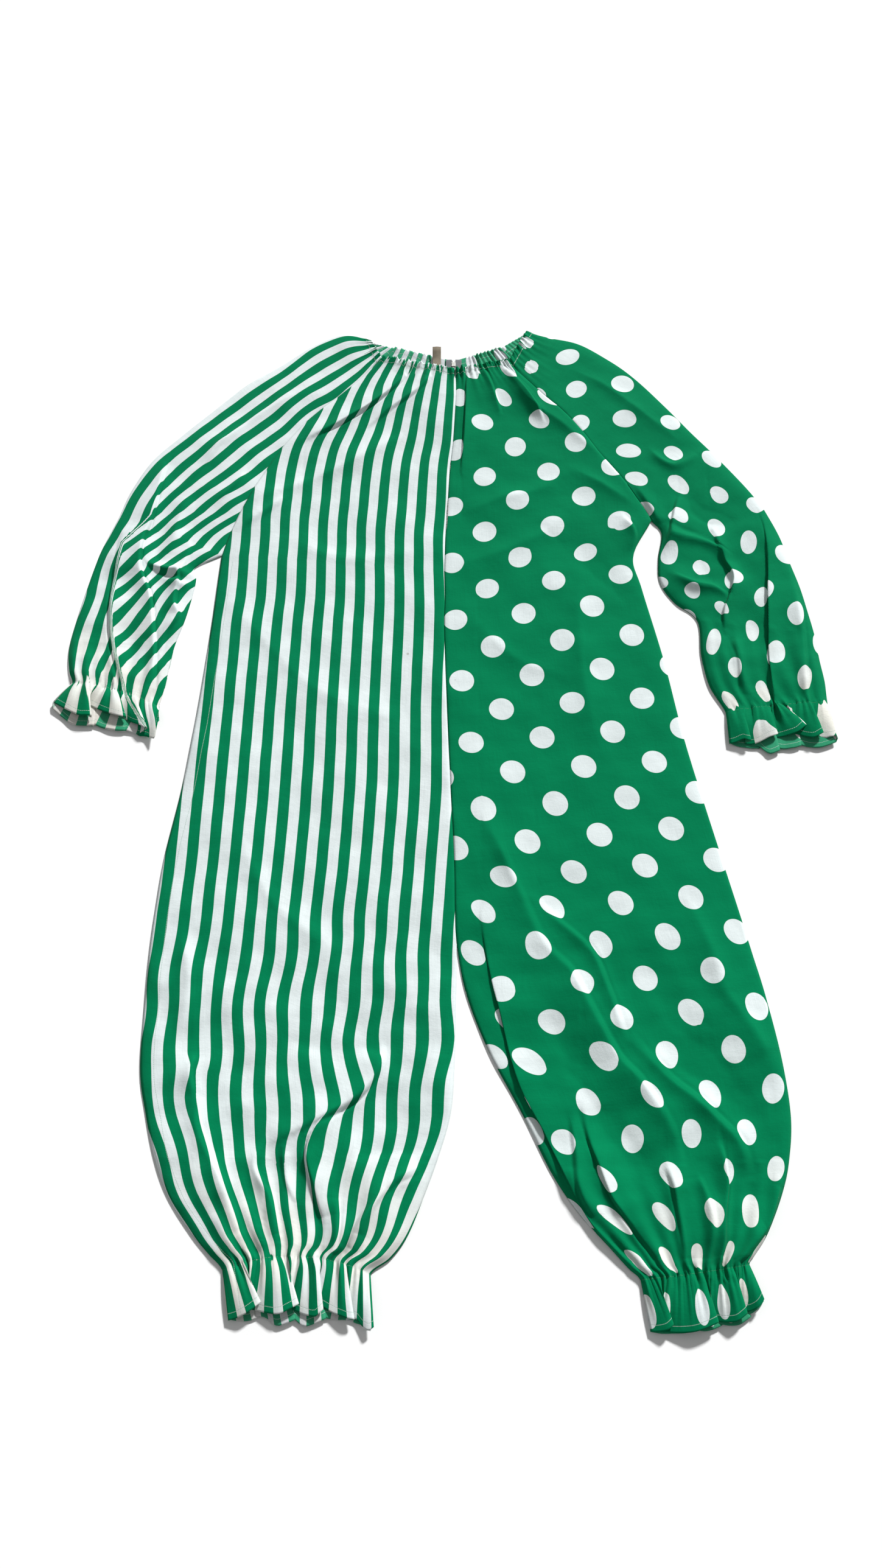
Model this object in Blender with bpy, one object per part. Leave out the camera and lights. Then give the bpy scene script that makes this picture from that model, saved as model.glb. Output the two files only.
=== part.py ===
"""Clown suit, laid flat on its back.

A one-piece suit with gathered neck, raglan sleeves and full legs. One half is cut from striped
cloth and the other from dotted cloth. The front lies on the back; both rest on z = 0.
+Y runs from the ankles to the neck, +X to the viewer's right, and the origin is the middle of
the footprint. Tables are in millimetres.
"""

import math
from collections import namedtuple

import bmesh
import bpy
import numpy as np

MM = 0.001

# Cloth.
WALL = 1.5              # thickness of every cloth wall
GAP = 0.3               # between two pieces at a seam, or between two layers
LAYER = WALL + GAP      # height of the front's underside where both layers lie flat
EDGE_ROLL = 20.0        # how far in from a folded edge the front has risen to its full puff

# Columns of cloth across a panel and across each layer of a sleeve. Every second column is the
# crest of a small pleat, and a ruffle's lobe takes four columns.
PANEL_COLUMNS = 24
SLEEVE_COLUMNS = 16
COLUMNS_PER_LOBE = 4
UNEVEN_COLUMNS = 0.28   # how far columns stray from even spacing, as a share of a column
SCALLOP = 3.0           # how far a lobe's hem reaches beyond the hem beside it
LEAN = 3.0              # how far a lobe's crest leans over to its right

# Rows of a panel and of a sleeve: each edge is a smooth curve through its table's rows.
YOKE_TIMES = (0, 1, 2, 3, 4, 4.5, 5, 5.5, 6, 6.5, 7, 7.5, 8, 8.5, 9, 10)
FRONT_LEG_TIMES = (11, 12, 12.5, 13, 13.5, 14, 14.5, 15, 16, 17, 18, 18.5, 19, 19.5, 20, 20.5,
                   21, 22, 23, 24, 25, 26, 27)
BACK_LEG_TIMES = (11, 12, 13.5, 15, 17, 19, 21, 22, 23, 24, 25, 26, 27)
ARM_TIMES = (11, 11.5, 12, 12.5, 13, 13.5, 14, 15, 16, 17, 18, 19, 20)

UNDERARM_ROW = 10
CROTCH_ROW = 17

# Rows between which a raglan seam and the centre seam come down to the back layer.
SEAM_FALLS = (7, 9)
CROTCH_FALLS = (16, 17)

# Zip at the centre back.
ZIP_SLOT_HALF = 4.5     # from the zip's middle to the back panel's folded edge
ZIP_BOTTOM_ROW = 12     # body row where the zip ends
ZIP_TAPE_WIDTH = 14.0
ZIP_TAPE_WALL = 1.0
ZIP_TAPE_CLEAR = 0.5
ZIP_FLARE = 3.2         # each tape's distance from the middle at the neck, above the slider
PLEAT_CLEAR = 16.0      # the back's pleats start this far from the zip's edge
PLEAT_FADE = 18.0

# Zip slider and pull. The slider's middle is on the zip's middle line.
SLIDER_X = 21.0
SLIDER_Y = 755.5
SLIDER_LENGTH = 9.0
SLIDER_WIDTH = 7.0
PLATE = 0.8
PLATE_GAP = 1.6         # between the slider's two plates, where the tapes' edges run
BRIDGE_LENGTH = 5.0
BRIDGE_WIDTH = 1.6
BRIDGE_HOLE_LENGTH = 2.6
BRIDGE_HOLE_HEIGHT = 1.6
POST_WIDTH = 2.0
POST_LENGTH = 2.0
PULL_WIDTH = 5.2
PULL_WINDOW_WIDTH = 2.8
PULL_WINDOW_LENGTH = 6.6
PULL_LENGTH = 22.0

# Neck label, a short folded tab of tape sewn in beside the zip.
LABEL_LEFT = -16.0
LABEL_RIGHT = -1.0
LABEL_WALL = 1.2
LABEL_CURL = 0.6

# Rows 0 to 10 run from the neck edge to the underarm. Each crosses the sleeve from its outer fold
# to the front and back raglan seams.
YokeRow = namedtuple("YokeRow", "fold_x fold_y front_x front_y back_x back_y")
STRIPE_YOKE = (
    YokeRow(-125, 810, -105, 768, -84, 798),
    YokeRow(-140, 814, -118, 750, -96, 780),
    YokeRow(-174, 818, -149, 711, -125, 743),
    YokeRow(-223, 789, -186, 673, -162, 703),
    YokeRow(-274, 745, -225, 634, -205, 657),
    YokeRow(-329, 703, -261, 584, -246, 604),
    YokeRow(-382, 648, -288, 535, -279, 551),
    YokeRow(-433, 595, -312, 485, -307, 494),
    YokeRow(-480, 542, -333, 435, -331, 439),
    YokeRow(-512, 481, -348, 389, -348, 389),
    YokeRow(-531, 428, -357, 351, -357, 351),
)
DOT_YOKE = (
    YokeRow(151, 833, 118, 761, 105, 798),
    YokeRow(166, 825, 130, 740, 120, 779),
    YokeRow(191, 818, 167, 694, 147, 741),
    YokeRow(242, 805, 207, 649, 187, 689),
    YokeRow(291, 769, 236, 609, 222, 635),
    YokeRow(336, 726, 262, 566, 253, 584),
    YokeRow(385, 662, 287, 527, 281, 538),
    YokeRow(423, 608, 308, 495, 305, 500),
    YokeRow(460, 558, 326, 461, 325, 463),
    YokeRow(505, 492, 339, 437, 339, 437),
    YokeRow(531, 447, 345, 421, 345, 421),
)

# The centre seams beside those rows. The back neck stands higher than the front neck.
CentreRow = namedtuple("CentreRow", "front_x front_y back_x back_y")
CENTRE = (
    CentreRow(23, 741, 21, 767),
    CentreRow(24, 724, 21, 748),
    CentreRow(24, 684, 21, 701),
    CentreRow(22, 635, 21, 645),
    CentreRow(19, 582, 19, 588),
    CentreRow(14, 530, 14, 533),
    CentreRow(11, 476, 11, 478),
    CentreRow(9, 428, 9, 429),
    CentreRow(6, 385, 6, 385),
    CentreRow(5, 349, 5, 349),
    CentreRow(4, 319, 4, 319),
)

# Rows 11 to 27 run from below the arm to the ankle hem. `arch` lifts the middle of a row.
LegRow = namedtuple("LegRow", "side_x side_y inner_x inner_y arch")
STRIPE_LEG = (
    LegRow(-361, 275, 5, 266, 0),
    LegRow(-364, 214, 4, 208, 0),
    LegRow(-374, 70, 8, 68, 0),
    LegRow(-387, -67, 13, -67, 0),
    LegRow(-404, -186, 18, -186, 0),
    LegRow(-410, -271, 19, -271, 0),
    LegRow(-412, -330, 21, -318, 0),
    LegRow(-412, -399, 20, -399, 0),
    LegRow(-410, -498, 17, -498, 0),
    LegRow(-397, -560, 12, -560, 0),
    LegRow(-379, -621, -4, -617, 0),
    LegRow(-356, -672, -24, -672, 4),
    LegRow(-323, -717, -44, -720, 9),
    LegRow(-299, -743, -65, -748, 15),
    LegRow(-280, -763, -91, -768, 19),
    LegRow(-274, -793, -92, -800, 17),
    LegRow(-272, -825, -88, -832, 11),
)
DOT_LEG = (
    LegRow(311, 350, 5, 266, 0),
    LegRow(321, 285, 4, 208, 0),
    LegRow(347, 150, 8, 68, 0),
    LegRow(369, 5, 13, -67, 0),
    LegRow(403, -165, 18, -186, 0),
    LegRow(425, -270, 19, -271, 0),
    LegRow(438, -335, 21, -318, 0),
    LegRow(450, -395, 34, -393, 0),
    LegRow(463, -485, 65, -477, 0),
    LegRow(467, -565, 108, -562, 0),
    LegRow(458, -625, 145, -641, 0),
    LegRow(444, -668, 179, -693, 0),
    LegRow(421, -716, 216, -735, -2),
    LegRow(402, -742, 238, -760, -2),
    LegRow(393, -756, 253, -775, -2),
    LegRow(398, -780, 258, -804, -8),
    LegRow(407, -804, 263, -836, -15),
)
# How far the back ruffle's middle hangs below the front's.
STRIPE_HEM_DROP = 13
DOT_HEM_DROP = 2

# Rows 11 to 20 of a sleeve run from below the underarm to the cuff's hem.
ArmRow = namedtuple("ArmRow", "fold_x fold_y under_x under_y arch")
STRIPE_ARM = (
    ArmRow(-551, 367, -398, 327, 0),
    ArmRow(-559, 333, -395, 305, 0),
    ArmRow(-567, 290, -398, 275, 0),
    ArmRow(-576, 237, -406, 230, 0),
    ArmRow(-583, 186, -419, 178, 0),
    ArmRow(-583, 155, -424, 140, 2),
    ArmRow(-579, 130, -428, 103, 5),
    ArmRow(-573, 108, -434, 66, 7),
    ArmRow(-590, 88, -432, 40, 8),
    ArmRow(-598, 71, -441, 24, 5),
)
DOT_ARM = (
    ArmRow(551, 391, 360, 395, 0),
    ArmRow(563, 337, 351, 343, 0),
    ArmRow(574, 289, 351, 298, 0),
    ArmRow(581, 243, 371, 260, 0),
    ArmRow(587, 197, 405, 225, 0),
    ArmRow(589, 152, 406, 160, 0),
    ArmRow(592, 113, 414, 104, 1),
    ArmRow(592, 73, 435, 57, 2),
    ArmRow(596, 47, 435, 28, 4),
    ArmRow(600, 15, 436, 0, 7),
)
# How far the cuff's under layer hangs below its upper layer.
STRIPE_CUFF_DROP = 14
DOT_CUFF_DROP = 15

# Height of the layers, a row for each row of cloth that differs from the plain ones. `lift` parts
# the front from the back, `puff` is the air under the front, `pleat` and `lobe` are the wave
# heights of the gathers and the ruffle, and the last two are those of the back.
Height = namedtuple("Height", "lift puff pleat lobe back_pleat back_lobe")
PLAIN = Height(0.0, 2.6, 0.0, 0.0, 0.0, 0.0)
BODY_HEIGHTS = {
    0: Height(5.0, 0.5, 2.6, 0.0, 3.0, 0.0),
    1: Height(5.0, 1.0, 2.6, 0.0, 3.0, 0.0),
    2: Height(3.2, 2.5, 2.0, 0.0, 1.8, 0.0),
    3: Height(1.0, 3.0, 1.2, 0.0, 0.6, 0.0),
    4: Height(0.3, 3.0, 0.4, 0.0, 0.0, 0.0),
    21: Height(0.0, 3.4, 0.8, 0.0, 0.0, 0.0),
    22: Height(0.0, 3.2, 1.8, 0.0, 0.5, 0.0),
    23: Height(0.0, 2.6, 2.6, 0.0, 1.0, 0.0),
    24: Height(0.0, 1.6, 2.8, 0.0, 1.5, 0.0),
    25: Height(0.0, 0.6, 1.6, 0.0, 1.0, 0.0),
    26: Height(0.0, 0.4, 1.2, 4.5, 0.8, 2.5),
    27: Height(0.0, 0.3, 0.0, 8.0, 0.0, 4.0),
}
SLEEVE_HEIGHTS = {
    0: Height(5.0, 0.5, 1.4, 0.0, 1.0, 0.0),
    1: Height(5.0, 1.0, 1.6, 0.0, 1.2, 0.0),
    2: Height(3.2, 2.5, 1.6, 0.0, 0.8, 0.0),
    3: Height(1.0, 3.0, 1.2, 0.0, 0.3, 0.0),
    4: Height(0.3, 3.0, 0.4, 0.0, 0.0, 0.0),
    15: Height(0.0, 3.2, 0.8, 0.0, 0.0, 0.0),
    16: Height(0.0, 3.0, 1.8, 0.0, 0.5, 0.0),
    17: Height(0.0, 2.0, 2.4, 0.0, 1.0, 0.0),
    18: Height(0.0, 0.6, 1.4, 0.0, 0.8, 0.0),
    19: Height(0.0, 0.4, 1.0, 4.0, 0.6, 2.0),
    20: Height(0.0, 0.3, 0.0, 7.0, 0.0, 3.5),
}
NEST_FROM_BODY_ROW = 21     # from here the front's waves ride on the back's
NEST_FROM_SLEEVE_ROW = 15
ZIP_LIFT = (3.0, 3.0, 1.5, 0.0)     # rows 0 to 3: the slider holds the back's centre edges up

# The largest folds of the front: a ridge along a curve from its start through its middle to its
# end, with its height and its half width on the sides of -X and +X. A negative height is a trough.
Fold = namedtuple("Fold", "start_x start_y mid_x mid_y end_x end_y height minus plus")
FOLDS = (
    # Dotted leg. The first overlaps the strip of cloth along the inner leg.
    Fold(63, -296, 121, -514, 234, -752, 6.5, 13, 40),
    Fold(21, -131, 175, -360, 262, -600, 4.0, 30, 20),
    Fold(130, -150, 240, -340, 330, -560, -2.2, 22, 22),
    Fold(270, -440, 328, -529, 384, -600, 4.0, 20, 18),
    Fold(402, -379, 430, -430, 452, -480, 2.5, 16, 16),
    Fold(330, -560, 345, -640, 350, -722, 4.5, 16, 16),
    Fold(205, -560, 245, -660, 295, -735, 4.5, 15, 15),
    # Dotted front.
    Fold(120, 640, 190, 480, 220, 330, 3.0, 24, 24),
    Fold(150, 420, 240, 330, 300, 250, -2.2, 22, 22),
    # Striped leg.
    Fold(-231, -590, -160, -545, -100, -535, 5.0, 17, 17),
    Fold(-260, -520, -160, -480, -70, -500, -2.2, 20, 20),
    Fold(-336, -584, -290, -660, -250, -725, 5.0, 16, 16),
    Fold(-172, -605, -160, -670, -158, -725, 4.5, 15, 15),
    Fold(-60, -590, -90, -660, -125, -728, 4.0, 15, 15),
    # Striped front.
    Fold(-174, 627, -115, 670, -55, 705, 3.0, 15, 15),
    Fold(-330, 250, -200, 100, -60, 40, 2.0, 30, 30),
    # Striped sleeve.
    Fold(-465, 540, -519, 330, -478, 98, 5.5, 20, 16),
    Fold(-420, 400, -480, 330, -530, 300, -2.4, 14, 14),
    Fold(-430, 290, -455, 215, -450, 120, 4.0, 15, 15),
    # Dotted sleeve.
    Fold(400, 600, 500, 420, 513, 200, 5.0, 20, 16),
    Fold(370, 420, 430, 380, 500, 370, -2.4, 14, 14),
    Fold(430, 290, 470, 190, 480, 100, 4.0, 15, 15),
)


def smooth(table, times):
    """Values of a table of rows at fractional row numbers, on a smooth curve through the rows."""
    rows = np.array(table, float)
    last = len(rows) - 1
    slopes = np.gradient(rows, axis=0)
    result = []
    for time in times:
        low = min(int(time), last - 1)
        u = time - low
        run = rows[low + 1] - rows[low]
        start, end = slopes[low], slopes[low + 1]
        cubic = start + end - 2 * run
        square = 3 * run - 2 * start - end
        result.append(rows[low] + u * (start + u * (square + u * cubic)))
    return np.array(result)


def columns_of(table, *names):
    """The named columns of a table of rows."""
    return [tuple(getattr(row, name) for name in names) for row in table]


def edge(yoke_points, limb_points, limb_times):
    """An edge from the neck to the hem. It can turn sharply at the underarm."""
    yoke = smooth(yoke_points, YOKE_TIMES)
    limb = smooth(yoke_points[-1:] + limb_points, [t - UNDERARM_ROW for t in limb_times])
    return np.concatenate([yoke, limb])


def arches(limb, limb_times, hem_drop):
    """How far the middle of each row is lifted; a back layer's hem hangs lower by `hem_drop`."""
    values = [(0.0,)] + [(float(row.arch),) for row in limb]
    arch = smooth(values, [t - UNDERARM_ROW for t in limb_times])[:, 0]
    arch[-1] -= hem_drop
    arch[-2] -= hem_drop / 2
    return np.concatenate([np.zeros(len(YOKE_TIMES)), arch])


def row_heights(special, times):
    """The Height values at each row number, straight between the rows."""
    last = max(special)
    table = np.array([special.get(row, PLAIN) for row in range(last + 1)], float)
    at = np.arange(last + 1)
    return Height(*(np.interp(times, at, column)[:, None] for column in table.T))


def part_seam(points, side):
    """Points whose raglan rows are moved half a gap to one side of the seam, -1 or +1."""
    seam = points[: len(YOKE_TIMES)]
    along = np.gradient(seam, axis=0)
    across_seam = np.stack([along[:, 1], -along[:, 0]], axis=1)
    across_seam /= np.linalg.norm(across_seam, axis=1)[:, None]
    moved = points.copy()
    moved[: len(YOKE_TIMES)] += side * GAP / 2 * across_seam
    return moved


def spread(columns, phase):
    """Even shares from 0 to 1, which the waves follow, and where those columns lie."""
    even = np.linspace(0, 1, columns + 1)
    stray = UNEVEN_COLUMNS / columns * np.sin(2.1 * np.arange(columns + 1) + phase)
    stray[[0, -1]] = 0
    return even, even + stray


def across(left, right, arch, shares):
    """A grid of points: each row runs from left to right, its middle lifted by `arch`."""
    rows = left[:, None, :] * (1 - shares)[None, :, None] + right[:, None, :] * shares[None, :, None]
    rows[..., 1] += np.reshape(arch, (-1, 1)) * 4 * shares * (1 - shares)
    return rows


def wave(even, count):
    """`count` equal crests from 0 to 1, starting and ending at 0."""
    return (1 - np.cos(2 * math.pi * count * even)) / 2


def uneven(even, phase):
    """A slow change of height from one crest to the next."""
    return 1 + 0.28 * np.sin(9 * even + phase) + 0.12 * np.sin(23 * even + 2 * phase)


def scalloped(grid, even, lobes, phase):
    """A grid whose ruffle reaches out further at each lobe's crest, and leans to the right."""
    moved = grid.copy()
    crest = wave(even, lobes)
    reach = SCALLOP * (crest - 0.5) * uneven(even, phase)
    for row, share in ((-2, 0.5), (-1, 1.0)):
        moved[row] += share * np.stack([LEAN * crest, -reach], axis=1)
    return moved


def rise(distance, hold):
    """0 at a folded edge and 1 well inside; `hold` of 1 keeps the height up to a flat seam."""
    return 1 - (1 - hold) * np.exp(-distance / EDGE_ROLL)


def fold_heights(grid):
    """The height that the folds add at each point of a grid."""
    total = np.zeros(grid.shape[:2])
    u = np.linspace(0, 1, 25)[:, None]
    for fold in FOLDS:
        start = np.array([fold.start_x, fold.start_y], float)
        middle = np.array([fold.mid_x, fold.mid_y], float)
        end = np.array([fold.end_x, fold.end_y], float)
        bend = 2 * middle - (start + end) / 2
        path = (1 - u) ** 2 * start + 2 * u * (1 - u) * bend + u**2 * end
        offset = grid[:, :, None, :] - path
        away = np.linalg.norm(offset, axis=3)
        nearest = away.argmin(axis=2)[..., None]
        side = np.take_along_axis(offset[..., 0], nearest, axis=2)[..., 0]
        width = np.where(side < 0, fold.minus, fold.plus)
        along = np.clip(u[nearest[..., 0], 0], 0.06, 0.94)
        total += fold.height * np.sin(math.pi * along) ** 0.7 * np.exp(-((away.min(axis=2) / width) ** 2))
    return total


def with_height(grid, height):
    """A grid of x, y points with a height for each."""
    return np.concatenate([grid, np.broadcast_to(height, grid.shape[:2])[..., None]], axis=2)


def back_top(even, heights, waves):
    """Height of the back's upper side."""
    pleats, lobes, phase = waves
    pleat = heights.back_pleat * wave(even, pleats)
    lobe = heights.back_lobe * wave(even, lobes) * uneven(even, phase)
    return WALL + pleat + lobe


def front_under(grid, even, heights, nested, holds, waves):
    """Height of the front's underside, clear of the back's upper side by at least the gap."""
    pleats, lobes, phase = waves
    from_left = np.linalg.norm(grid - grid[:, :1], axis=2)
    from_right = np.linalg.norm(grid - grid[:, -1:], axis=2)
    profile = rise(from_left, holds[0]) * rise(from_right, holds[1])
    pleat = heights.pleat * wave(even, pleats) * uneven(even, phase + 4)
    lobe = heights.lobe * wave(even, lobes) * uneven(even, phase)
    air = np.maximum(heights.puff + fold_heights(grid), 0.2) * profile
    return LAYER + heights.lift + nested + air + pleat + lobe


def solid(name, outer, inner, material, other_diagonal=()):
    """A closed wall between two grids of points, split into triangles the same way on both."""
    rows, columns = outer.shape[:2]
    mesh = bmesh.new()
    sides = []
    for grid in (outer, inner):
        corners = [[mesh.verts.new(grid[r, c] * MM) for c in range(columns)] for r in range(rows)]
        sides.append(corners)
    for side, (corners, flip) in enumerate(zip(sides, (False, True))):
        for r in range(rows - 1):
            for c in range(columns - 1):
                a, b = corners[r][c], corners[r][c + 1]
                d, e = corners[r + 1][c], corners[r + 1][c + 1]
                halves = ((a, b, d), (b, e, d)) if c in other_diagonal else ((a, b, e), (a, e, d))
                for half in halves:
                    mesh.faces.new(half[::-1] if flip else half)
    border = [(r, 0) for r in range(rows)]
    border += [(rows - 1, c) for c in range(1, columns)]
    border += [(r, columns - 1) for r in range(rows - 2, -1, -1)]
    border += [(0, c) for c in range(columns - 2, 0, -1)]
    for (r, c), (r_next, c_next) in zip(border, border[1:] + border[:1]):
        top, top_next = sides[0][r][c], sides[0][r_next][c_next]
        low, low_next = sides[1][r][c], sides[1][r_next][c_next]
        mesh.faces.new((top, top_next, low_next))
        mesh.faces.new((top, low_next, low))
    if mesh.calc_volume(signed=True) < 0:
        bmesh.ops.reverse_faces(mesh, faces=mesh.faces)
    return finish(name, mesh, material)


def finish(name, mesh, material, location=(0, 0, 0), smooth_angle=40):
    """Turns a bmesh into a named object with its material."""
    data = bpy.data.meshes.new(name)
    mesh.to_mesh(data)
    mesh.free()
    data.materials.append(material)
    data.shade_smooth()
    data.set_sharp_from_angle(angle=math.radians(smooth_angle))
    piece = bpy.data.objects.new(name, data)
    piece.location = location
    bpy.context.scene.collection.objects.link(piece)
    return piece


def material(name, colour, roughness, metallic=0.0):
    made = bpy.data.materials.new(name)
    made.use_nodes = True
    shader = made.node_tree.nodes["Principled BSDF"]
    shader.inputs["Base Color"].default_value = (*colour, 1)
    shader.inputs["Roughness"].default_value = roughness
    shader.inputs["Metallic"].default_value = metallic
    return made


def body_edges(yoke, leg, layer, leg_times):
    """The outer and the centre edge of a front or back panel, from the neck to the hem."""
    outer = edge(
        columns_of(yoke, layer + "_x", layer + "_y"),
        columns_of(leg, "side_x", "side_y"),
        leg_times,
    )
    centre = edge(
        columns_of(CENTRE, layer + "_x", layer + "_y"),
        columns_of(leg, "inner_x", "inner_y"),
        leg_times,
    )
    return outer, centre


def panel_grid(yoke, leg, layer, side, leg_times, phase, hem_drop=0):
    """Points of a panel as x, y: rows from the neck to the hem, columns from left to right."""
    times = np.array(YOKE_TIMES + leg_times)
    outer, centre = body_edges(yoke, leg, layer, leg_times)
    outer = part_seam(outer, side)
    centre[times <= CROTCH_ROW, 0] += side * GAP / 2
    if layer == "back":
        centre[times <= ZIP_BOTTOM_ROW, 0] += side * (ZIP_SLOT_HALF - GAP / 2)
    even, shares = spread(PANEL_COLUMNS, phase)
    ends = (outer, centre) if side < 0 else (centre, outer)
    grid = across(*ends, arches(leg, leg_times, hem_drop), shares)
    return scalloped(grid, even, PANEL_COLUMNS // COLUMNS_PER_LOBE, phase + hem_drop), even, times


def wave_counts(columns, phase):
    """How many pleats and ruffle lobes a layer has, and where its waves start."""
    return columns // 2, columns // COLUMNS_PER_LOBE, phase


def build_back(name, yoke, leg, side, hem_drop, phase, cloth):
    grid, even, times = panel_grid(yoke, leg, "back", side, BACK_LEG_TIMES, phase, hem_drop)
    heights = row_heights(BODY_HEIGHTS, times)
    waved = back_top(even, heights, wave_counts(PANEL_COLUMNS, phase)) - WALL
    zip_edge = grid[:, -1:] if side < 0 else grid[:, :1]
    from_zip = np.linalg.norm(grid - zip_edge, axis=2)
    past_zip = np.clip((from_zip - PLEAT_CLEAR) / PLEAT_FADE, 0, 1)
    neck = (times < NEST_FROM_BODY_ROW)[:, None]
    lift = np.interp(times, range(len(ZIP_LIFT)), ZIP_LIFT)[:, None]
    top = WALL + waved * np.where(neck, past_zip, 1) + lift * (1 - past_zip)
    return solid(name, with_height(grid, top), with_height(grid, top - WALL), cloth)


def build_front(name, yoke, leg, side, phase, cloth):
    grid, even, times = panel_grid(yoke, leg, "front", side, FRONT_LEG_TIMES, phase)
    heights = row_heights(BODY_HEIGHTS, times)
    waves = wave_counts(PANEL_COLUMNS, phase)
    nest = (times >= NEST_FROM_BODY_ROW)[:, None]
    nested = np.where(nest, back_top(even, heights, waves) - WALL, 0)
    raglan_hold = np.interp(times, SEAM_FALLS, (1, 0))[:, None]
    centre_hold = np.interp(times, CROTCH_FALLS, (1, 0))[:, None]
    holds = (raglan_hold, centre_hold) if side < 0 else (centre_hold, raglan_hold)
    under = front_under(grid, even, heights, nested, holds, waves)
    return solid(name, with_height(grid, under + WALL), with_height(grid, under), cloth)


def build_sleeve(name, yoke, arm, side, cuff_drop, phase, cloth):
    """A sleeve is one piece of cloth: front layer, outer fold and under layer, with its edges at
    the raglan seams and the underarm seam."""
    under_arm = columns_of(arm, "under_x", "under_y")
    fold_points = columns_of(yoke, "fold_x", "fold_y"), columns_of(arm, "fold_x", "fold_y")
    fold = edge(*fold_points, ARM_TIMES)
    front = edge(columns_of(yoke, "front_x", "front_y"), under_arm, ARM_TIMES)
    back = edge(columns_of(yoke, "back_x", "back_y"), under_arm, ARM_TIMES)
    even, shares = spread(SLEEVE_COLUMNS, phase)
    waves = wave_counts(SLEEVE_COLUMNS, phase)
    upper = across(part_seam(front, -side), fold, arches(arm, ARM_TIMES, 0), shares)
    lower = across(part_seam(back, -side), fold, arches(arm, ARM_TIMES, cuff_drop), shares)
    upper = scalloped(upper, even, waves[1], phase)
    lower = scalloped(lower, even, waves[1], phase + cuff_drop)

    times = np.array(YOKE_TIMES + ARM_TIMES)
    heights = row_heights(SLEEVE_HEIGHTS, times)
    lower_top = back_top(even, heights, waves)
    nested = np.where((times >= NEST_FROM_SLEEVE_ROW)[:, None], lower_top - WALL, 0)
    raglan_hold = np.interp(times, SEAM_FALLS, (1, 0))[:, None]
    under = front_under(upper, even, heights, nested, (raglan_hold, 0), waves)

    outward = side * np.array([1.0, 0.0])
    middle = (under[:, -1:] + lower_top[:, -1:]) / 2
    bend_outer = with_height((fold + outward * (middle + GAP))[:, None], middle)
    bend_inner = with_height((fold + outward * GAP / 2)[:, None], middle)
    lower, lower_top = lower[:, ::-1], lower_top[:, ::-1]
    outer = (with_height(upper, under + WALL), bend_outer, with_height(lower, lower_top - WALL))
    inner = (with_height(upper, under), bend_inner, with_height(lower, lower_top))
    lower_columns = range(SLEEVE_COLUMNS + 2, 2 * SLEEVE_COLUMNS + 2)
    return solid(name, np.concatenate(outer, axis=1), np.concatenate(inner, axis=1), cloth, lower_columns)


def build_tape(name, side, cloth):
    """One half of the zip's tape, on the inner side of the back panel."""
    rows = np.arange(ZIP_BOTTOM_ROW + 1)
    points = [(row.back_x, row.back_y) for row in CENTRE] + columns_of(STRIPE_LEG, "inner_x", "inner_y")
    middle = np.array(points[: ZIP_BOTTOM_ROW + 1], float)
    flare = np.where(rows == 0, ZIP_FLARE, GAP / 2)
    inner_edge = middle + np.stack([side * flare, 0 * flare], axis=1)
    outer_edge = middle + np.array([side * ZIP_TAPE_WIDTH, 0])
    ends = (outer_edge, inner_edge) if side < 0 else (inner_edge, outer_edge)
    grid = across(*ends, 0 * flare, np.linspace(0, 1, 3))
    lift = np.interp(rows, range(len(ZIP_LIFT)), ZIP_LIFT)[:, None]
    under = WALL + ZIP_TAPE_CLEAR + lift
    return solid(name, with_height(grid, under + ZIP_TAPE_WALL), with_height(grid, under), cloth)


def add_box(mesh, low, high):
    """A box between two corners, in millimetres."""
    made = bmesh.ops.create_cube(mesh, size=1)
    for vert in made["verts"]:
        share = vert.co + type(vert.co)((0.5, 0.5, 0.5))
        vert.co = [MM * (l + (h - l) * s) for l, h, s in zip(low, high, share)]


def ring_profile(mesh, outer, inner, thickness, axis):
    """A flat rectangular ring, or window frame, extruded to both sides along an axis.

    `outer` and `inner` are (low_u, low_v, high_u, high_v) rectangles in the ring's plane.
    """
    def corner(u, v, depth):
        point = [u, v]
        point.insert(axis, depth)
        return mesh.verts.new([MM * value for value in point])

    loops = []
    for low_u, low_v, high_u, high_v in (outer, inner):
        for depth in (-thickness / 2, thickness / 2):
            around = ((low_u, low_v), (high_u, low_v), (high_u, high_v), (low_u, high_v))
            loops.append([corner(u, v, depth) for u, v in around])
    outer_low, outer_high, inner_low, inner_high = loops
    for i in range(4):
        j = (i + 1) % 4
        mesh.faces.new((outer_low[i], outer_low[j], outer_high[j], outer_high[i]))
        mesh.faces.new((inner_low[j], inner_low[i], inner_high[i], inner_high[j]))
        mesh.faces.new((outer_low[j], outer_low[i], inner_low[i], inner_low[j]))
        mesh.faces.new((outer_high[i], outer_high[j], inner_high[j], inner_high[i]))
    bmesh.ops.recalc_face_normals(mesh, faces=mesh.faces)


def hidden_tool(name, mesh):
    """A helper object that is joined to a solid by a Boolean, and isn't a piece itself."""
    data = bpy.data.meshes.new(name)
    mesh.to_mesh(data)
    mesh.free()
    tool = bpy.data.objects.new(name, data)
    tool.hide_render = True
    tool.display_type = "WIRE"
    bpy.context.scene.collection.objects.link(tool)
    return tool


def join_with(piece, tool):
    union = piece.modifiers.new("join_" + tool.name, "BOOLEAN")
    union.operation = "UNION"
    union.solver = "EXACT"
    union.object = tool


def slider_levels():
    """Heights of the slider's plates and of the pull's axis, from the zip's tapes down."""
    tape_under = WALL + ZIP_TAPE_CLEAR + ZIP_LIFT[0]
    low_plate_top = tape_under - GAP
    low_plate = low_plate_top - PLATE
    axis = low_plate - BRIDGE_HOLE_HEIGHT / 2
    return low_plate, low_plate_top, axis


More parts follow.
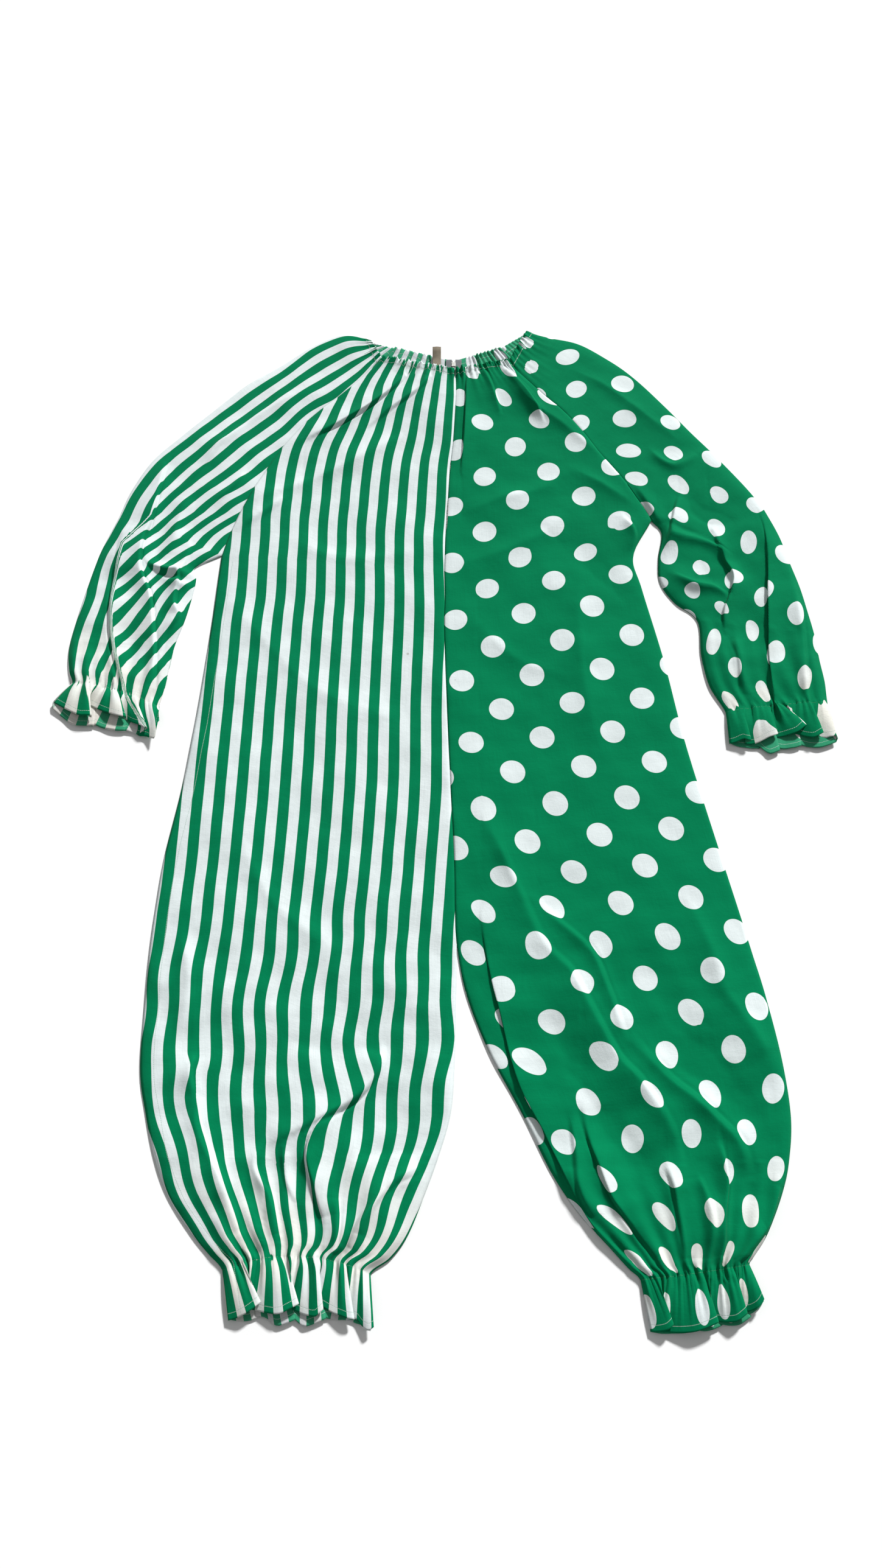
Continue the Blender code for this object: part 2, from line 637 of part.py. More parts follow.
def build_slider(metal):
    """The slider: two plates joined by a post, and a bridge under them that holds the pull."""
    low_plate, low_plate_top, axis = slider_levels()
    half_x, half_y = SLIDER_WIDTH / 2, SLIDER_LENGTH / 2
    high_plate = low_plate_top + PLATE_GAP
    base = bmesh.new()
    add_box(base, (-half_x, -half_y, low_plate), (half_x, half_y, low_plate_top))
    slider = finish("zip_slider", base, metal, (SLIDER_X * MM, SLIDER_Y * MM, 0))

    plate = bmesh.new()
    add_box(plate, (-half_x, -half_y, high_plate), (half_x, half_y, high_plate + PLATE))
    post = bmesh.new()
    post_low = (-POST_WIDTH / 2, half_y - POST_LENGTH, low_plate_top - PLATE / 2)
    post_high = (POST_WIDTH / 2, half_y - GAP, high_plate + PLATE / 2)
    add_box(post, post_low, post_high)
    bridge = bmesh.new()
    hole_low = low_plate - BRIDGE_HOLE_HEIGHT
    outer = (-BRIDGE_LENGTH / 2, hole_low - PLATE, BRIDGE_LENGTH / 2, low_plate_top - PLATE / 4)
    inner = (-BRIDGE_HOLE_LENGTH / 2, hole_low, BRIDGE_HOLE_LENGTH / 2, low_plate + PLATE / 8)
    ring_profile(bridge, outer, inner, BRIDGE_WIDTH, 0)
    for name, mesh in (("high_plate", plate), ("post", post), ("bridge", bridge)):
        tool = hidden_tool("slider_" + name, mesh)
        tool.location = slider.location
        join_with(slider, tool)
    return slider


def build_pull(metal):
    """The pull tab, with its origin on its hinge. Its end bar runs through the bridge."""
    _, _, axis = slider_levels()
    bar = PLATE / 2
    ring = bmesh.new()
    outer = (-PULL_WIDTH / 2, -PULL_WINDOW_LENGTH - 2 * PLATE, PULL_WIDTH / 2, bar)
    inner = (-PULL_WINDOW_WIDTH / 2, -PULL_WINDOW_LENGTH - bar, PULL_WINDOW_WIDTH / 2, -bar)
    ring_profile(ring, outer, inner, PLATE, 2)
    pull = finish("zip_pull", ring, metal, (SLIDER_X * MM, SLIDER_Y * MM, axis * MM))
    grip = bmesh.new()
    add_box(grip, (-PULL_WIDTH / 2 + GAP, -PULL_LENGTH, -PLATE / 2 + 0.1),
            (PULL_WIDTH / 2 - GAP, -PULL_WINDOW_LENGTH - PLATE, PLATE / 2 - 0.1))
    tool = hidden_tool("pull_grip", grip)
    tool.location = pull.location
    join_with(pull, tool)
    return pull


def build_label(tape):
    """A short tab of tape that lies on the back's pleats and stands up past the neck edge."""
    crest = WALL + BODY_HEIGHTS[0].back_pleat + GAP
    path = ((751, crest), (760, crest + 0.1), (768, crest + 1.2), (776, crest + 4.2),
            (783, crest + 7.4), (789, crest + 8.4))
    left = np.array([(LABEL_LEFT, y) for y, _ in path], float)
    right = np.array([(LABEL_RIGHT, y) for y, _ in path], float)
    under = np.array([z for _, z in path])[:, None]
    grid = across(left, right, np.zeros(len(path)), np.linspace(0, 1, 3))
    curl = np.array([0.0, LABEL_CURL, 0.0])
    top = with_height(grid, under + curl + LABEL_WALL)
    return solid("neck_label", top, with_height(grid, under + curl), tape)


def main():
    for thing in list(bpy.data.objects):
        bpy.data.objects.remove(thing, do_unlink=True)
    stripe = material("striped_cotton", (0.36, 0.62, 0.48), 0.85)
    dot = material("dotted_cotton", (0.01, 0.23, 0.09), 0.85)
    tape = material("zip_tape_grey", (0.24, 0.25, 0.26), 0.8)
    metal = material("zip_metal", (0.62, 0.62, 0.6), 0.35, 1.0)
    woven = material("label_tape", (0.62, 0.56, 0.46), 0.8)
    build_back("back_stripe", STRIPE_YOKE, STRIPE_LEG, -1, STRIPE_HEM_DROP, 0.4, stripe)
    build_back("back_dot", DOT_YOKE, DOT_LEG, 1, DOT_HEM_DROP, 2.1, dot)
    build_front("front_stripe", STRIPE_YOKE, STRIPE_LEG, -1, 0.4, stripe)
    build_front("front_dot", DOT_YOKE, DOT_LEG, 1, 2.1, dot)
    build_sleeve("sleeve_stripe", STRIPE_YOKE, STRIPE_ARM, -1, STRIPE_CUFF_DROP, 1.0, stripe)
    build_sleeve("sleeve_dot", DOT_YOKE, DOT_ARM, 1, DOT_CUFF_DROP, 3.0, dot)
    build_tape("zip_tape_stripe", -1, tape)
    build_tape("zip_tape_dot", 1, tape)
    build_slider(metal)
    build_pull(metal)
    build_label(woven)


main()
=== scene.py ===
"""Looks of a clown suit that lies flat on its back: one half striped and the other dotted.

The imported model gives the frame. Every panel and sleeve is remade here as a thin, finely folded
sheet of printed cotton on the form of its solid. Lengths in tables and cloth functions are in
millimetres, and objects are in metres. +Y runs from the ankles to the neck, and z = 0 is the floor.
"""

import math
from collections import namedtuple

import bmesh
import bpy
import numpy as np
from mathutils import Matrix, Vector


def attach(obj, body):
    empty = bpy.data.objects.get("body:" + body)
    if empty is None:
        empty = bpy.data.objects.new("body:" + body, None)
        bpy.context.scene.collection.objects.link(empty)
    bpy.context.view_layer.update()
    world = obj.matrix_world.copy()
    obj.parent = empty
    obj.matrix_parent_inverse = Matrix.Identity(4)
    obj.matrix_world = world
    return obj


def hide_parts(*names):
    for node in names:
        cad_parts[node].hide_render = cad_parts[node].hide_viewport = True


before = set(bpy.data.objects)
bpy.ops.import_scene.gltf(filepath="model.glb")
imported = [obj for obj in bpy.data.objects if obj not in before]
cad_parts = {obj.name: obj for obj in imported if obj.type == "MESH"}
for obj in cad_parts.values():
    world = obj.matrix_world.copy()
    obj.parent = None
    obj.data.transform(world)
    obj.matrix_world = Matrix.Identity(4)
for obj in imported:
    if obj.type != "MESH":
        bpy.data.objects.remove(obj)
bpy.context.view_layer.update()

MM = 0.001


def rows(kind, *values):
    """A table of rows with named columns."""
    return tuple(kind(*row) for row in values)


# ---- Cut and lie of the cloth: the same tables as the model's solids. A row lies across a panel or
# sleeve. Rows 0 to 10 run from the neck to the underarm, and the others from there to the hem.

YOKE_ROWS = 10
CROTCH_ROW = 17
SEAM_FALLS = (7, 9)     # rows between which a raglan seam comes down to the back layer
CROTCH_FALLS = (16, 17)     # and between which the centre seam does
ZIP_SLOT_HALF = 4.5     # from the zip's middle to a back's folded edge
ZIP_BOTTOM_ROW = 12
ZIP_LIFT = (3.0, 3.0, 1.5, 0.0)     # of the backs over the floor beside the zip, rows 0 to 3
PLEAT_CLEAR = 16.0      # from the zip to the back's first pleat
PLEAT_FADE = 18.0       # from there to where the pleats have their full height
SLIDER_Y = 755.5

YokeRow = namedtuple("YokeRow", "fold_x fold_y front_x front_y back_x back_y")
STRIPE_YOKE = rows(YokeRow,
    (-125, 810, -105, 768, -84, 798), (-140, 814, -118, 750, -96, 780), (-174, 818, -149, 711, -125, 743),
    (-223, 789, -186, 673, -162, 703), (-274, 745, -225, 634, -205, 657),
    (-329, 703, -261, 584, -246, 604), (-382, 648, -288, 535, -279, 551),
    (-433, 595, -312, 485, -307, 494), (-480, 542, -333, 435, -331, 439),
    (-512, 481, -348, 389, -348, 389), (-531, 428, -357, 351, -357, 351))
DOT_YOKE = rows(YokeRow,
    (151, 833, 118, 761, 105, 798), (166, 825, 130, 740, 120, 779), (191, 818, 167, 694, 147, 741),
    (242, 805, 207, 649, 187, 689), (291, 769, 236, 609, 222, 635), (336, 726, 262, 566, 253, 584),
    (385, 662, 287, 527, 281, 538), (423, 608, 308, 495, 305, 500), (460, 558, 326, 461, 325, 463),
    (505, 492, 339, 437, 339, 437), (531, 447, 345, 421, 345, 421))

CentreRow = namedtuple("CentreRow", "front_x front_y back_x back_y")
CENTRE = rows(CentreRow,
    (23, 741, 21, 767), (24, 724, 21, 748), (24, 684, 21, 701), (22, 635, 21, 645), (19, 582, 19, 588),
    (14, 530, 14, 533), (11, 476, 11, 478), (9, 428, 9, 429), (6, 385, 6, 385), (5, 349, 5, 349),
    (4, 319, 4, 319))

LegRow = namedtuple("LegRow", "side_x side_y inner_x inner_y arch")
STRIPE_LEG = rows(LegRow,
    (-361, 275, 5, 266, 0), (-364, 214, 4, 208, 0), (-374, 70, 8, 68, 0), (-387, -67, 13, -67, 0),
    (-404, -186, 18, -186, 0), (-410, -271, 19, -271, 0), (-412, -330, 21, -318, 0),
    (-412, -399, 20, -399, 0), (-410, -498, 17, -498, 0), (-397, -560, 12, -560, 0),
    (-379, -621, -4, -617, 0), (-356, -672, -24, -672, 4), (-323, -717, -44, -720, 9),
    (-299, -743, -65, -748, 15), (-280, -763, -91, -768, 19), (-274, -793, -92, -800, 17),
    (-272, -825, -88, -832, 11))
DOT_LEG = rows(LegRow,
    (311, 350, 5, 266, 0), (321, 285, 4, 208, 0), (347, 150, 8, 68, 0), (369, 5, 13, -67, 0),
    (403, -165, 18, -186, 0), (425, -270, 19, -271, 0), (438, -335, 21, -318, 0), (450, -395, 34, -393, 0),
    (463, -485, 65, -477, 0), (467, -565, 108, -562, 0), (458, -625, 145, -641, 0),
    (444, -668, 179, -693, 0), (421, -716, 216, -735, -2), (402, -742, 238, -760, -2),
    (393, -756, 253, -775, -2), (398, -780, 258, -804, -8), (407, -804, 263, -836, -15))

ArmRow = namedtuple("ArmRow", "fold_x fold_y under_x under_y arch")
STRIPE_ARM = rows(ArmRow,
    (-551, 367, -398, 327, 0), (-559, 333, -395, 305, 0), (-567, 290, -398, 275, 0),
    (-576, 237, -406, 230, 0), (-583, 186, -419, 178, 0), (-583, 155, -424, 140, 2),
    (-579, 130, -428, 103, 5), (-573, 108, -434, 66, 7), (-590, 88, -432, 40, 8), (-598, 71, -441, 24, 5))
DOT_ARM = rows(ArmRow,
    (551, 391, 360, 395, 0), (563, 337, 351, 343, 0), (574, 289, 351, 298, 0), (581, 243, 371, 260, 0),
    (587, 197, 405, 225, 0), (589, 152, 406, 160, 0), (592, 113, 414, 104, 1), (592, 73, 435, 57, 2),
    (596, 47, 435, 28, 4), (600, 15, 436, 0, 7))

# Heights of the layers in the rows that differ from the plain ones.
Height = namedtuple("Height", "lift puff pleat lobe back_pleat back_lobe")
PLAIN = Height(0, 2.6, 0, 0, 0, 0)
BODY_HEIGHTS = {
    0: (5, 0.5, 2.6, 0, 3, 0), 1: (5, 1, 2.6, 0, 3, 0), 2: (3.2, 2.5, 2, 0, 1.8, 0),
    3: (1, 3, 1.2, 0, 0.6, 0), 4: (0.3, 3, 0.4, 0, 0, 0), 21: (0, 3.4, 0.8, 0, 0, 0),
    22: (0, 3.2, 1.8, 0, 0.5, 0), 23: (0, 2.6, 2.6, 0, 1, 0), 24: (0, 1.6, 2.8, 0, 1.5, 0),
    25: (0, 0.6, 1.6, 0, 1, 0), 26: (0, 0.4, 1.2, 5.5, 0.8, 2.5), 27: (0, 0.3, 0.6, 10, 0.6, 4.5),
}
SLEEVE_HEIGHTS = {
    0: (5, 0.5, 1.4, 0, 1, 0), 1: (5, 1, 1.6, 0, 1.2, 0), 2: (3.2, 2.5, 1.6, 0, 0.8, 0),
    3: (1, 3, 1.2, 0, 0.3, 0), 4: (0.3, 3, 0.4, 0, 0, 0), 15: (0, 3.2, 0.8, 0, 0, 0),
    16: (0, 3, 1.8, 0, 0.5, 0), 17: (0, 2, 2.4, 0, 1, 0), 18: (0, 0.6, 1.4, 0, 0.8, 0),
    19: (0, 0.4, 1, 5, 0.6, 2), 20: (0, 0.3, 0.6, 9, 0.6, 4),
}

# Folds of the front layers, in the order in which they lie: height of the crest, how far it falls
# away towards -X and +X, how far the crest leans over to +X as a share of its height, and the cloth
# hidden in the fold, by which the print jumps. Then the points that the crest runs through.
Fold = namedtuple("Fold", "height minus plus lean tuck path")
FOLDS = rows(Fold,
    # Dotted leg. The first overlaps the strip of cloth along the inner leg.
    (3, 7, 40, -4.6, 54, ((60, -280), (78, -363), (94, -420), (118, -519), (151, -588), (195, -689),
     (221, -735), (238, -762))),
    (5, 20, 13, 0.5, 8, ((85, -180), (137, -312), (175, -359), (194, -399), (234, -482), (268, -525),
     (306, -594), (312, -660))),
    (3.2, 9, 11, 0.8, 16, ((134, -255), (160, -286), (205, -330), (225, -381), (237, -420), (248, -462))),
    (6, 15, 15, 0.6, 12, ((258, -462), (302, -515), (333, -542), (363, -572), (389, -604), (402, -650))),
    (3.8, 16, 14, 0, 0, ((385, -381), (421, -434), (446, -485))),
    (6.5, 9, 13, -1.4, 14, ((196, -555), (211, -604), (223, -636), (237, -674), (257, -707), (281, -752))),
    (4.5, 8, 9, -0.8, 6, ((182, -562), (190, -610), (196, -661), (210, -700))),
    (6, 8, 9, 1.2, 16, ((353, -750), (357, -695), (365, -648), (362, -598))),
    (6.5, 9, 11, 1.6, 18, ((379, -757), (396, -728), (416, -702), (440, -655))),
    (5, 9, 8, -0.8, 8, ((317, -752), (314, -710), (307, -660), (297, -630))),
    (4.5, 7, 8, 0.6, 8, ((337, -752), (343, -710), (341, -673), (334, -645))),
    (-3, 18, 22, 0, 0, ((150, -430), (190, -520), (240, -600), (268, -660))),
    (-2.6, 20, 20, 0, 0, ((300, -400), (350, -470), (400, -520))),
    (3, 14, 14, 0, 0, ((350, -250), (380, -330), (395, -400))),
    (2.6, 12, 14, 0, 0, ((60, -120), (95, -200), (120, -262))),
    # Dotted front.
    (3.6, 6, 13, -1.2, 10, ((46, 728), (47, 672), (43, 588), (35, 520))),
    (4, 12, 18, 0, 6, ((112, 735), (150, 668), (205, 622), (262, 560))),
    (3.6, 8, 7, 0.6, 4, ((71, 740), (84, 700), (99, 644))),
    (4, 9, 7, 0.6, 4, ((108, 744), (133, 704), (158, 660), (172, 626))),
    (3, 14, 18, 0, 0, ((30, 430), (95, 462), (160, 480), (215, 520))),
    (2.4, 18, 16, 0, 0, ((26, 330), (90, 352), (165, 392), (205, 440))),
    (3.2, 13, 12, 0, 4, ((228, 520), (268, 492), (315, 455))),
    (4, 8, 9, 0.8, 8, ((297, 425), (312, 392), (308, 360))),
    (2.6, 20, 18, 0, 0, ((222, 300), (216, 200), (222, 90), (240, -10))),
    (-2.2, 22, 22, 0, 0, ((150, 420), (240, 330), (300, 250))),
    (2.2, 16, 16, 0, 0, ((60, 210), (120, 150), (190, 120))),
    # Striped leg.
    (6, 26, 12, 1.3, 12, ((-84, -478), (-98, -508), (-122, -538), (-166, -565), (-236, -601))),
    (5.5, 10, 14, -1.2, 14, ((-156, -565), (-170, -612), (-160, -655), (-150, -700))),
    (5.4, 18, 13, 0.4, 10, ((-328, -535), (-329, -582), (-291, -654), (-261, -720))),
    (4.5, 10, 9, 0.5, 8, ((-241, -601), (-250, -633), (-226, -675), (-211, -722))),
    (3.6, 8, 9, -0.5, 6, ((-209, -606), (-201, -648), (-187, -680))),
    (-3, 20, 20, 0, 0, ((-117, -619), (-66, -614), (-26, -595))),
    (5, 12, 11, 0.6, 10, ((-28, -630), (-65, -650), (-90, -680), (-108, -722))),
    (4.2, 9, 9, -0.6, 6, ((-71, -662), (-100, -700), (-119, -738))),
    (4.2, 8, 8, 0.6, 6, ((-138, -672), (-138, -710), (-142, -745))),
    (4.2, 10, 9, 0.8, 8, ((-338, -480), (-345, -505), (-338, -540))),
    (3.4, 16, 14, 0, 0, ((-370, -300), (-352, -380), (-362, -450))),
    (-2.4, 22, 20, 0, 0, ((-250, -430), (-180, -470), (-80, -470))),
    (3, 12, 12, 0, 4, ((-290, -690), (-277, -722), (-262, -752))),
    (2.4, 18, 16, 0, 0, ((-300, -150), (-240, -260), (-150, -330))),
    # Striped front.
    (6.4, 16, 8, 1, 8, ((-236, 588), (-186, 618), (-142, 650), (-104, 684), (-66, 726))),
    (4.2, 13, 8, 0.6, 6, ((-132, 612), (-92, 654), (-50, 690), (-22, 722))),
    (3, 18, 15, 0, 3, ((-300, 470), (-220, 500), (-120, 560), (-60, 600))),
    (2.4, 24, 24, 0, 0, ((-330, 250), (-200, 100), (-60, 40))),
    (2.2, 16, 18, 0, 0, ((-250, 380), (-150, 340), (-40, 360))),
    (3, 12, 12, 0.4, 4, ((-342, 400), (-300, 432), (-255, 470))),
    # Striped sleeve.
    (6, 18, 10, 1.2, 8, ((-463, 545), (-472, 522), (-484, 425), (-494, 380), (-496, 332), (-488, 304),
     (-474, 270), (-462, 206), (-453, 137), (-449, 98))),
    (5, 10, 13, -1, 10, ((-519, 395), (-521, 313), (-520, 268), (-518, 232), (-514, 197), (-505, 158),
     (-489, 100))),
    (5, 9, 9, 0.9, 10, ((-411, 366), (-420, 332), (-429, 300), (-431, 255), (-421, 232), (-439, 201),
     (-444, 160))),
    (5, 7, 9, -0.8, 8, ((-404, 312), (-426, 316), (-448, 322), (-474, 334))),
    (3.6, 8, 8, 0.6, 5, ((-402, 292), (-426, 292), (-446, 300))),
    (3.4, 14, 12, 0, 6, ((-420, 470), (-432, 420), (-436, 380), (-446, 350))),
    (3, 12, 12, 0, 4, ((-250, 690), (-300, 652), (-352, 600), (-392, 566))),
    (-2.6, 14, 14, 0, 0, ((-450, 420), (-462, 360), (-452, 330))),
    (2.6, 6, 9, 0.5, 5, ((-366, 596), (-376, 582), (-394, 548), (-417, 511), (-446, 468))),
    (3, 6, 8, 0.5, 4, ((-330, 518), (-347, 491), (-370, 462))),
    # Dotted sleeve.
    (4.2, 7, 18, -2.6, 26, ((527, 445), (536, 400), (537, 332), (532, 268), (526, 201), (521, 140),
     (519, 78), (517, 36))),
    (4.6, 9, 9, 0, 6, ((354, 566), (366, 546), (388, 531), (414, 543), (430, 560))),
    (5, 9, 9, -0.9, 8, ((398, 470), (390, 440), (386, 421), (374, 383), (362, 360))),
    (4.4, 9, 10, 0.8, 8, ((352, 392), (392, 384), (430, 372), (462, 352))),
    (6.6, 7, 9, -1, 14, ((446, 400), (462, 345), (476, 310), (470, 277), (454, 240), (448, 205))),
    (5.6, 8, 9, 0.4, 10, ((372, 312), (384, 300), (404, 289), (434, 284), (456, 268))),
    (4, 12, 12, -0.8, 8, ((462, 190), (470, 150), (468, 84))),
    (4, 10, 12, 0.7, 6, ((560, 360), (564, 230), (560, 140), (553, 56))),
    (4, 9, 14, -0.4, 0, ((326, 486), (340, 458), (352, 432), (362, 412))),
    (-2.6, 14, 14, 0, 0, ((410, 470), (430, 430), (490, 420))),
    (3.2, 14, 14, 0, 4, ((232, 742), (290, 700), (350, 640), (400, 590))))
FOLD_LIFT = 1.65        # how much higher the crests stand than the table's even heights
LEAN_SHARE = 0.72       # how much of the table's lean they have
TUCK_SPREAD = 3.5       # the print comes back to its place over this many times the hidden cloth
TRENCH = 3.0            # depth of the narrow crease at the foot of a leaning fold
TRENCH_WIDTH = 2.6
SHARP_REACH = 12.0      # how far from a leaning crest the rows need closer points
CROWDING = 2.6          # how much closer they lie there

# Lobes of a ruffle's hem from -X to +X. The cloth runs from a lobe's start by its lowest point to its
# tip, which lies over the start of the next lobe, and turns back under it.
Lobe = namedtuple("Lobe", "start_x start_y low_x low_y tip_x tip_y height")
STRIPE_ANKLE_FRONT = rows(Lobe,
    (-269, -824, -247, -817, -228, -803, 14), (-238, -811, -205, -817, -180, -805, 14),
    (-186, -812, -160, -820, -149, -811, 12), (-152, -807, -124, -820, -109, -823, 12),
    (-108, -822, -93, -836, -85, -832, 10))
STRIPE_ANKLE_BACK = rows(Lobe,
    (-268, -822, -245, -824, -228, -818, 3), (-222, -820, -206, -830, -183, -822, 6),
    (-186, -822, -172, -831, -145, -821, 6), (-150, -820, -120, -823, -87, -831, 3))
DOT_ANKLE_FRONT = rows(Lobe,
    (262, -837, 281, -836, 290, -829, 13), (284, -838, 316, -838, 346, -827, 14),
    (347, -825, 368, -826, 383, -816, 14), (384, -813, 397, -809, 406, -799, 12))
DOT_ANKLE_BACK = rows(Lobe,
    (261, -837, 290, -839, 320, -836, 4), (318, -834, 333, -836, 352, -829, 5),
    (350, -828, 372, -829, 390, -818, 5), (386, -816, 398, -810, 407, -800, 3))
STRIPE_CUFF_FRONT = rows(Lobe,
    (-597, 74, -553, 47, -532, 46, 14), (-540, 68, -503, 49, -479, 43, 14),
    (-483, 44, -458, 30, -446, 24, 13), (-449, 14, -434, 8, -430, 48, 12))
STRIPE_CUFF_BACK = rows(Lobe,
    (-596, 62, -562, 35, -529, 33, 6), (-532, 36, -505, 26, -480, 24, 6),
    (-482, 25, -456, 18, -431, 42, 5))
DOT_CUFF_FRONT = rows(Lobe,
    (435, 1, 456, 6, 469, 3, 13), (470, 0, 495, 9, 510, 15, 14), (509, 12, 539, 18, 554, 31, 14),
    (538, 18, 562, 8, 578, 17, 14), (577, 12, 588, 12, 597, 14, 9))
DOT_CUFF_BACK = rows(Lobe,
    (436, 3, 460, -4, 482, -5, 3), (480, -3, 495, -16, 512, -9, 7), (508, -6, 528, -6, 545, -1, 6),
    (541, 0, 570, -5, 597, 4, 6))
LOBE_LAP = 13.0         # how far a lobe reaches under the one before it
LOBE_LOW = 4.0          # height of the cloth there
BACK_LOBES_LOWER = 0.8  # heights of a back layer's lobes, as a share of the table's

# ---- Cloth of the scene.

CLOTH = 0.6             # thickness of the sheets
BACK_Z = 0.45           # middle of the back sheet where it lies on the floor
FRONT_Z = 1.25          # middle of the front sheet at a folded edge
AIR = 0.75              # how much higher the front lies away from its edges, beside its puff
LEAST_AIR = 0.3
EDGE_ROLL = 10.0        # distance over which the front comes down to an edge
SEAM_GAP = 0.1          # between the pieces on both sides of a seam
FOLD_BULGE = 0.6        # how far a sleeve's outer fold stands out, as a share of its height
SEAM_LAP = 1.2          # how far the front pieces lap at a seam
RAGLAN_DITCH = 0.10     # how much lower the cloth lies at a seam, as a share of its height
CENTRE_DITCH = 0.3
DITCH_WIDTH = 3.0
BODY_STEP = 5.0         # distance between rows of points in the plain cloth
GATHER_STEP = 2.2       # and in the gathers and ruffles
FRONT_COLUMNS = 112
BACK_COLUMNS = 72
SLEEVE_COLUMNS = 70
HEM = 8.0               # depth of the ruffles' hems
CASING = 11.0           # depth of the neck's casing
NECK_FADE = 22.0        # distance from the neck over which its even gathers run out
BUNCH_FADE = 20.0       # distance from an elastic over which its bunching runs out
LOOSE_WAVES = 1.1       # how much stronger the waves of loose cloth are
SIDE_STITCH_FROM = 500.0    # from the neck to the underarm
SIDE_STITCH = 19.5      # from the striped leg's outer edge to its stitched seam allowance

# What differs between panels and sleeves: the heights, the stretches of rows that lie close, the
# first row whose front waves ride on the back's, the row at the limb's elastic, the rows between
# which the cloth turns loose, the number of pleats, and the fine and the long puckers at the neck
# and at the elastic, each as count, height and reach.
Cut = namedtuple("Cut", "heights gathers nest_row elastic_row loose_rows pleats neck_puckers end_puckers")
BODY = Cut(BODY_HEIGHTS, ((0, 3), (21, 27)), 21, 25, (15, 19, 23, 25), 12,
           ((30, 5.4, 14), (10, 4.2, 52)), ((30, 6.2, 15), (12, 4.6, 44)))
SLEEVE = Cut(SLEEVE_HEIGHTS, ((0, 2), (15, 20)), 15, 18, (9, 12, 16, 18), 8,
             ((12, 4.2, 11), (4, 2.8, 34)), ((24, 5.6, 14), (9, 4.2, 38)))
BACK_PUCKERS = (26, 3.4, 14)

# ---- Print.

STRIPE_PITCH = 32.0
STRIPE_HALF = 0.256     # half a green stripe, as a share of the pitch
STRIPE_MIDDLE = 8.0     # of a green stripe, before the print's zero
DOT_COLUMN = 54.5       # between two columns of dots
DOT_PERIOD = 110.0      # between two dots of a column; each second column is half a period lower
DOT_RADIUS = 19.0
PRINT_SOFT = 0.35       # half the width of a printed edge

# Places on the printed cloth of a panel's outer and centre edges, or of a sleeve's outer fold and
# inner seam, row by row: in millimetres across the stripes, or in columns and periods of dots.
StripePlace = namedtuple("StripePlace", "outer_u inner_u")
DotPlace = namedtuple("DotPlace", "outer_u inner_u outer_v inner_v")
STRIPE_PRINT = rows(StripePlace,
    (-204, 6), (-208, 6), (-220, 6), (-245, 7), (-270, 6), (-284, 5), (-301, 4), (-322, 4), (-341, 4),
    (-357, 3), (-365, 2), (-369, 1), (-368, 0), (-375, 8), (-385, 13), (-401, 26), (-404, 34),
    (-404, 37.5), (-400, 46), (-401, 53), (-398, 55), (-400, 56), (-400, 56), (-400, 56), (-400, 56),
    (-400, 56), (-400, 56), (-400, 56))
DOT_PRINT = rows(DotPlace,
    (2.45, -1.05, -2.2, -2.07), (2.55, -1.05, -2, -1.92), (2.85, -1.2, -1.65, -1.54),
    (3.07, -1.12, -1.2, -1.12), (3.3, -1.16, -0.75, -0.63), (3.64, -1.12, -0.34, -0.22),
    (4, -1.13, 0.03, 0.24), (4.33, -1.12, 0.33, 0.68), (4.6, -1.15, 0.65, 1.05), (4.85, -1.2, 0.88, 1.36),
    (4.93, -1.24, 1.03, 1.63), (4.48, -1.28, 1.68, 2.1), (4.55, -1.34, 2.29, 2.63),
    (4.82, -1.5, 3.43, 3.87), (5, -1.78, 4.73, 5.12), (5.15, -2.1, 6.28, 6.12), (5.25, -2.82, 7.23, 6.98),
    (5.22, -3.35, 7.82, 7.34), (5.28, -3.55, 8.37, 8.02), (5.35, -3.7, 9.16, 8.9),
    (5.45, -3.8, 9.85, 9.68), (5.5, -3.55, 10.4, 10.46), (5.45, -3.6, 10.85, 10.95),
    (5.25, -4, 11.28, 11.3), (5.2, -4.05, 11.55, 11.55), (5.2, -4.05, 11.7, 11.7),
    (5.2, -4.05, 11.93, 11.93), (5.2, -4.05, 12.2, 12.2))
STRIPE_SLEEVE_PRINT = rows(StripePlace,
    (-20, 100), (-21, 102), (-22, 100), (-21, 98), (-29, 108), (-32, 111), (-30, 128), (-28, 142),
    (-24, 158), (-21, 166), (-18, 166), (-17, 150), (-17, 152), (-15, 155), (-16, 150), (-17, 155),
    (-17, 172), (-17, 205), (-16, 225), (-16, 230), (-16, 235))
DOT_SLEEVE_PRINT = rows(DotPlace,
    (-0.75, 1.6, -2.2, -2), (-0.75, 1.65, -2, -1.75), (-0.7, 1.75, -1.52, -1.05), (-0.62, 1.95, -1, -0.45),
    (-0.52, 2.15, -0.5, 0.1), (-0.45, 2.45, 0.05, 0.62), (-0.4, 2.95, 0.71, 1.1), (-0.3, 3.45, 1.34, 1.46),
    (-0.25, 3.8, 1.98, 1.8), (-0.2, 4.02, 2.6, 2.05), (-0.17, 4.02, 3.12, 2.35), (-0.18, 4.1, 3.66, 2.6),
    (-0.2, 4.5, 4.15, 2.95), (-0.35, 5.05, 4.6, 3.5), (-0.7, 5.1, 4.98, 4.1), (-0.9, 4.75, 5.36, 4.62),
    (-1, 4.6, 5.76, 5.1), (-1.12, 4.6, 6.12, 5.65), (-1.2, 4.5, 6.36, 6.15), (-1.2, 4.5, 6.5, 6.3),
    (-1.2, 4.5, 6.66, 6.48))
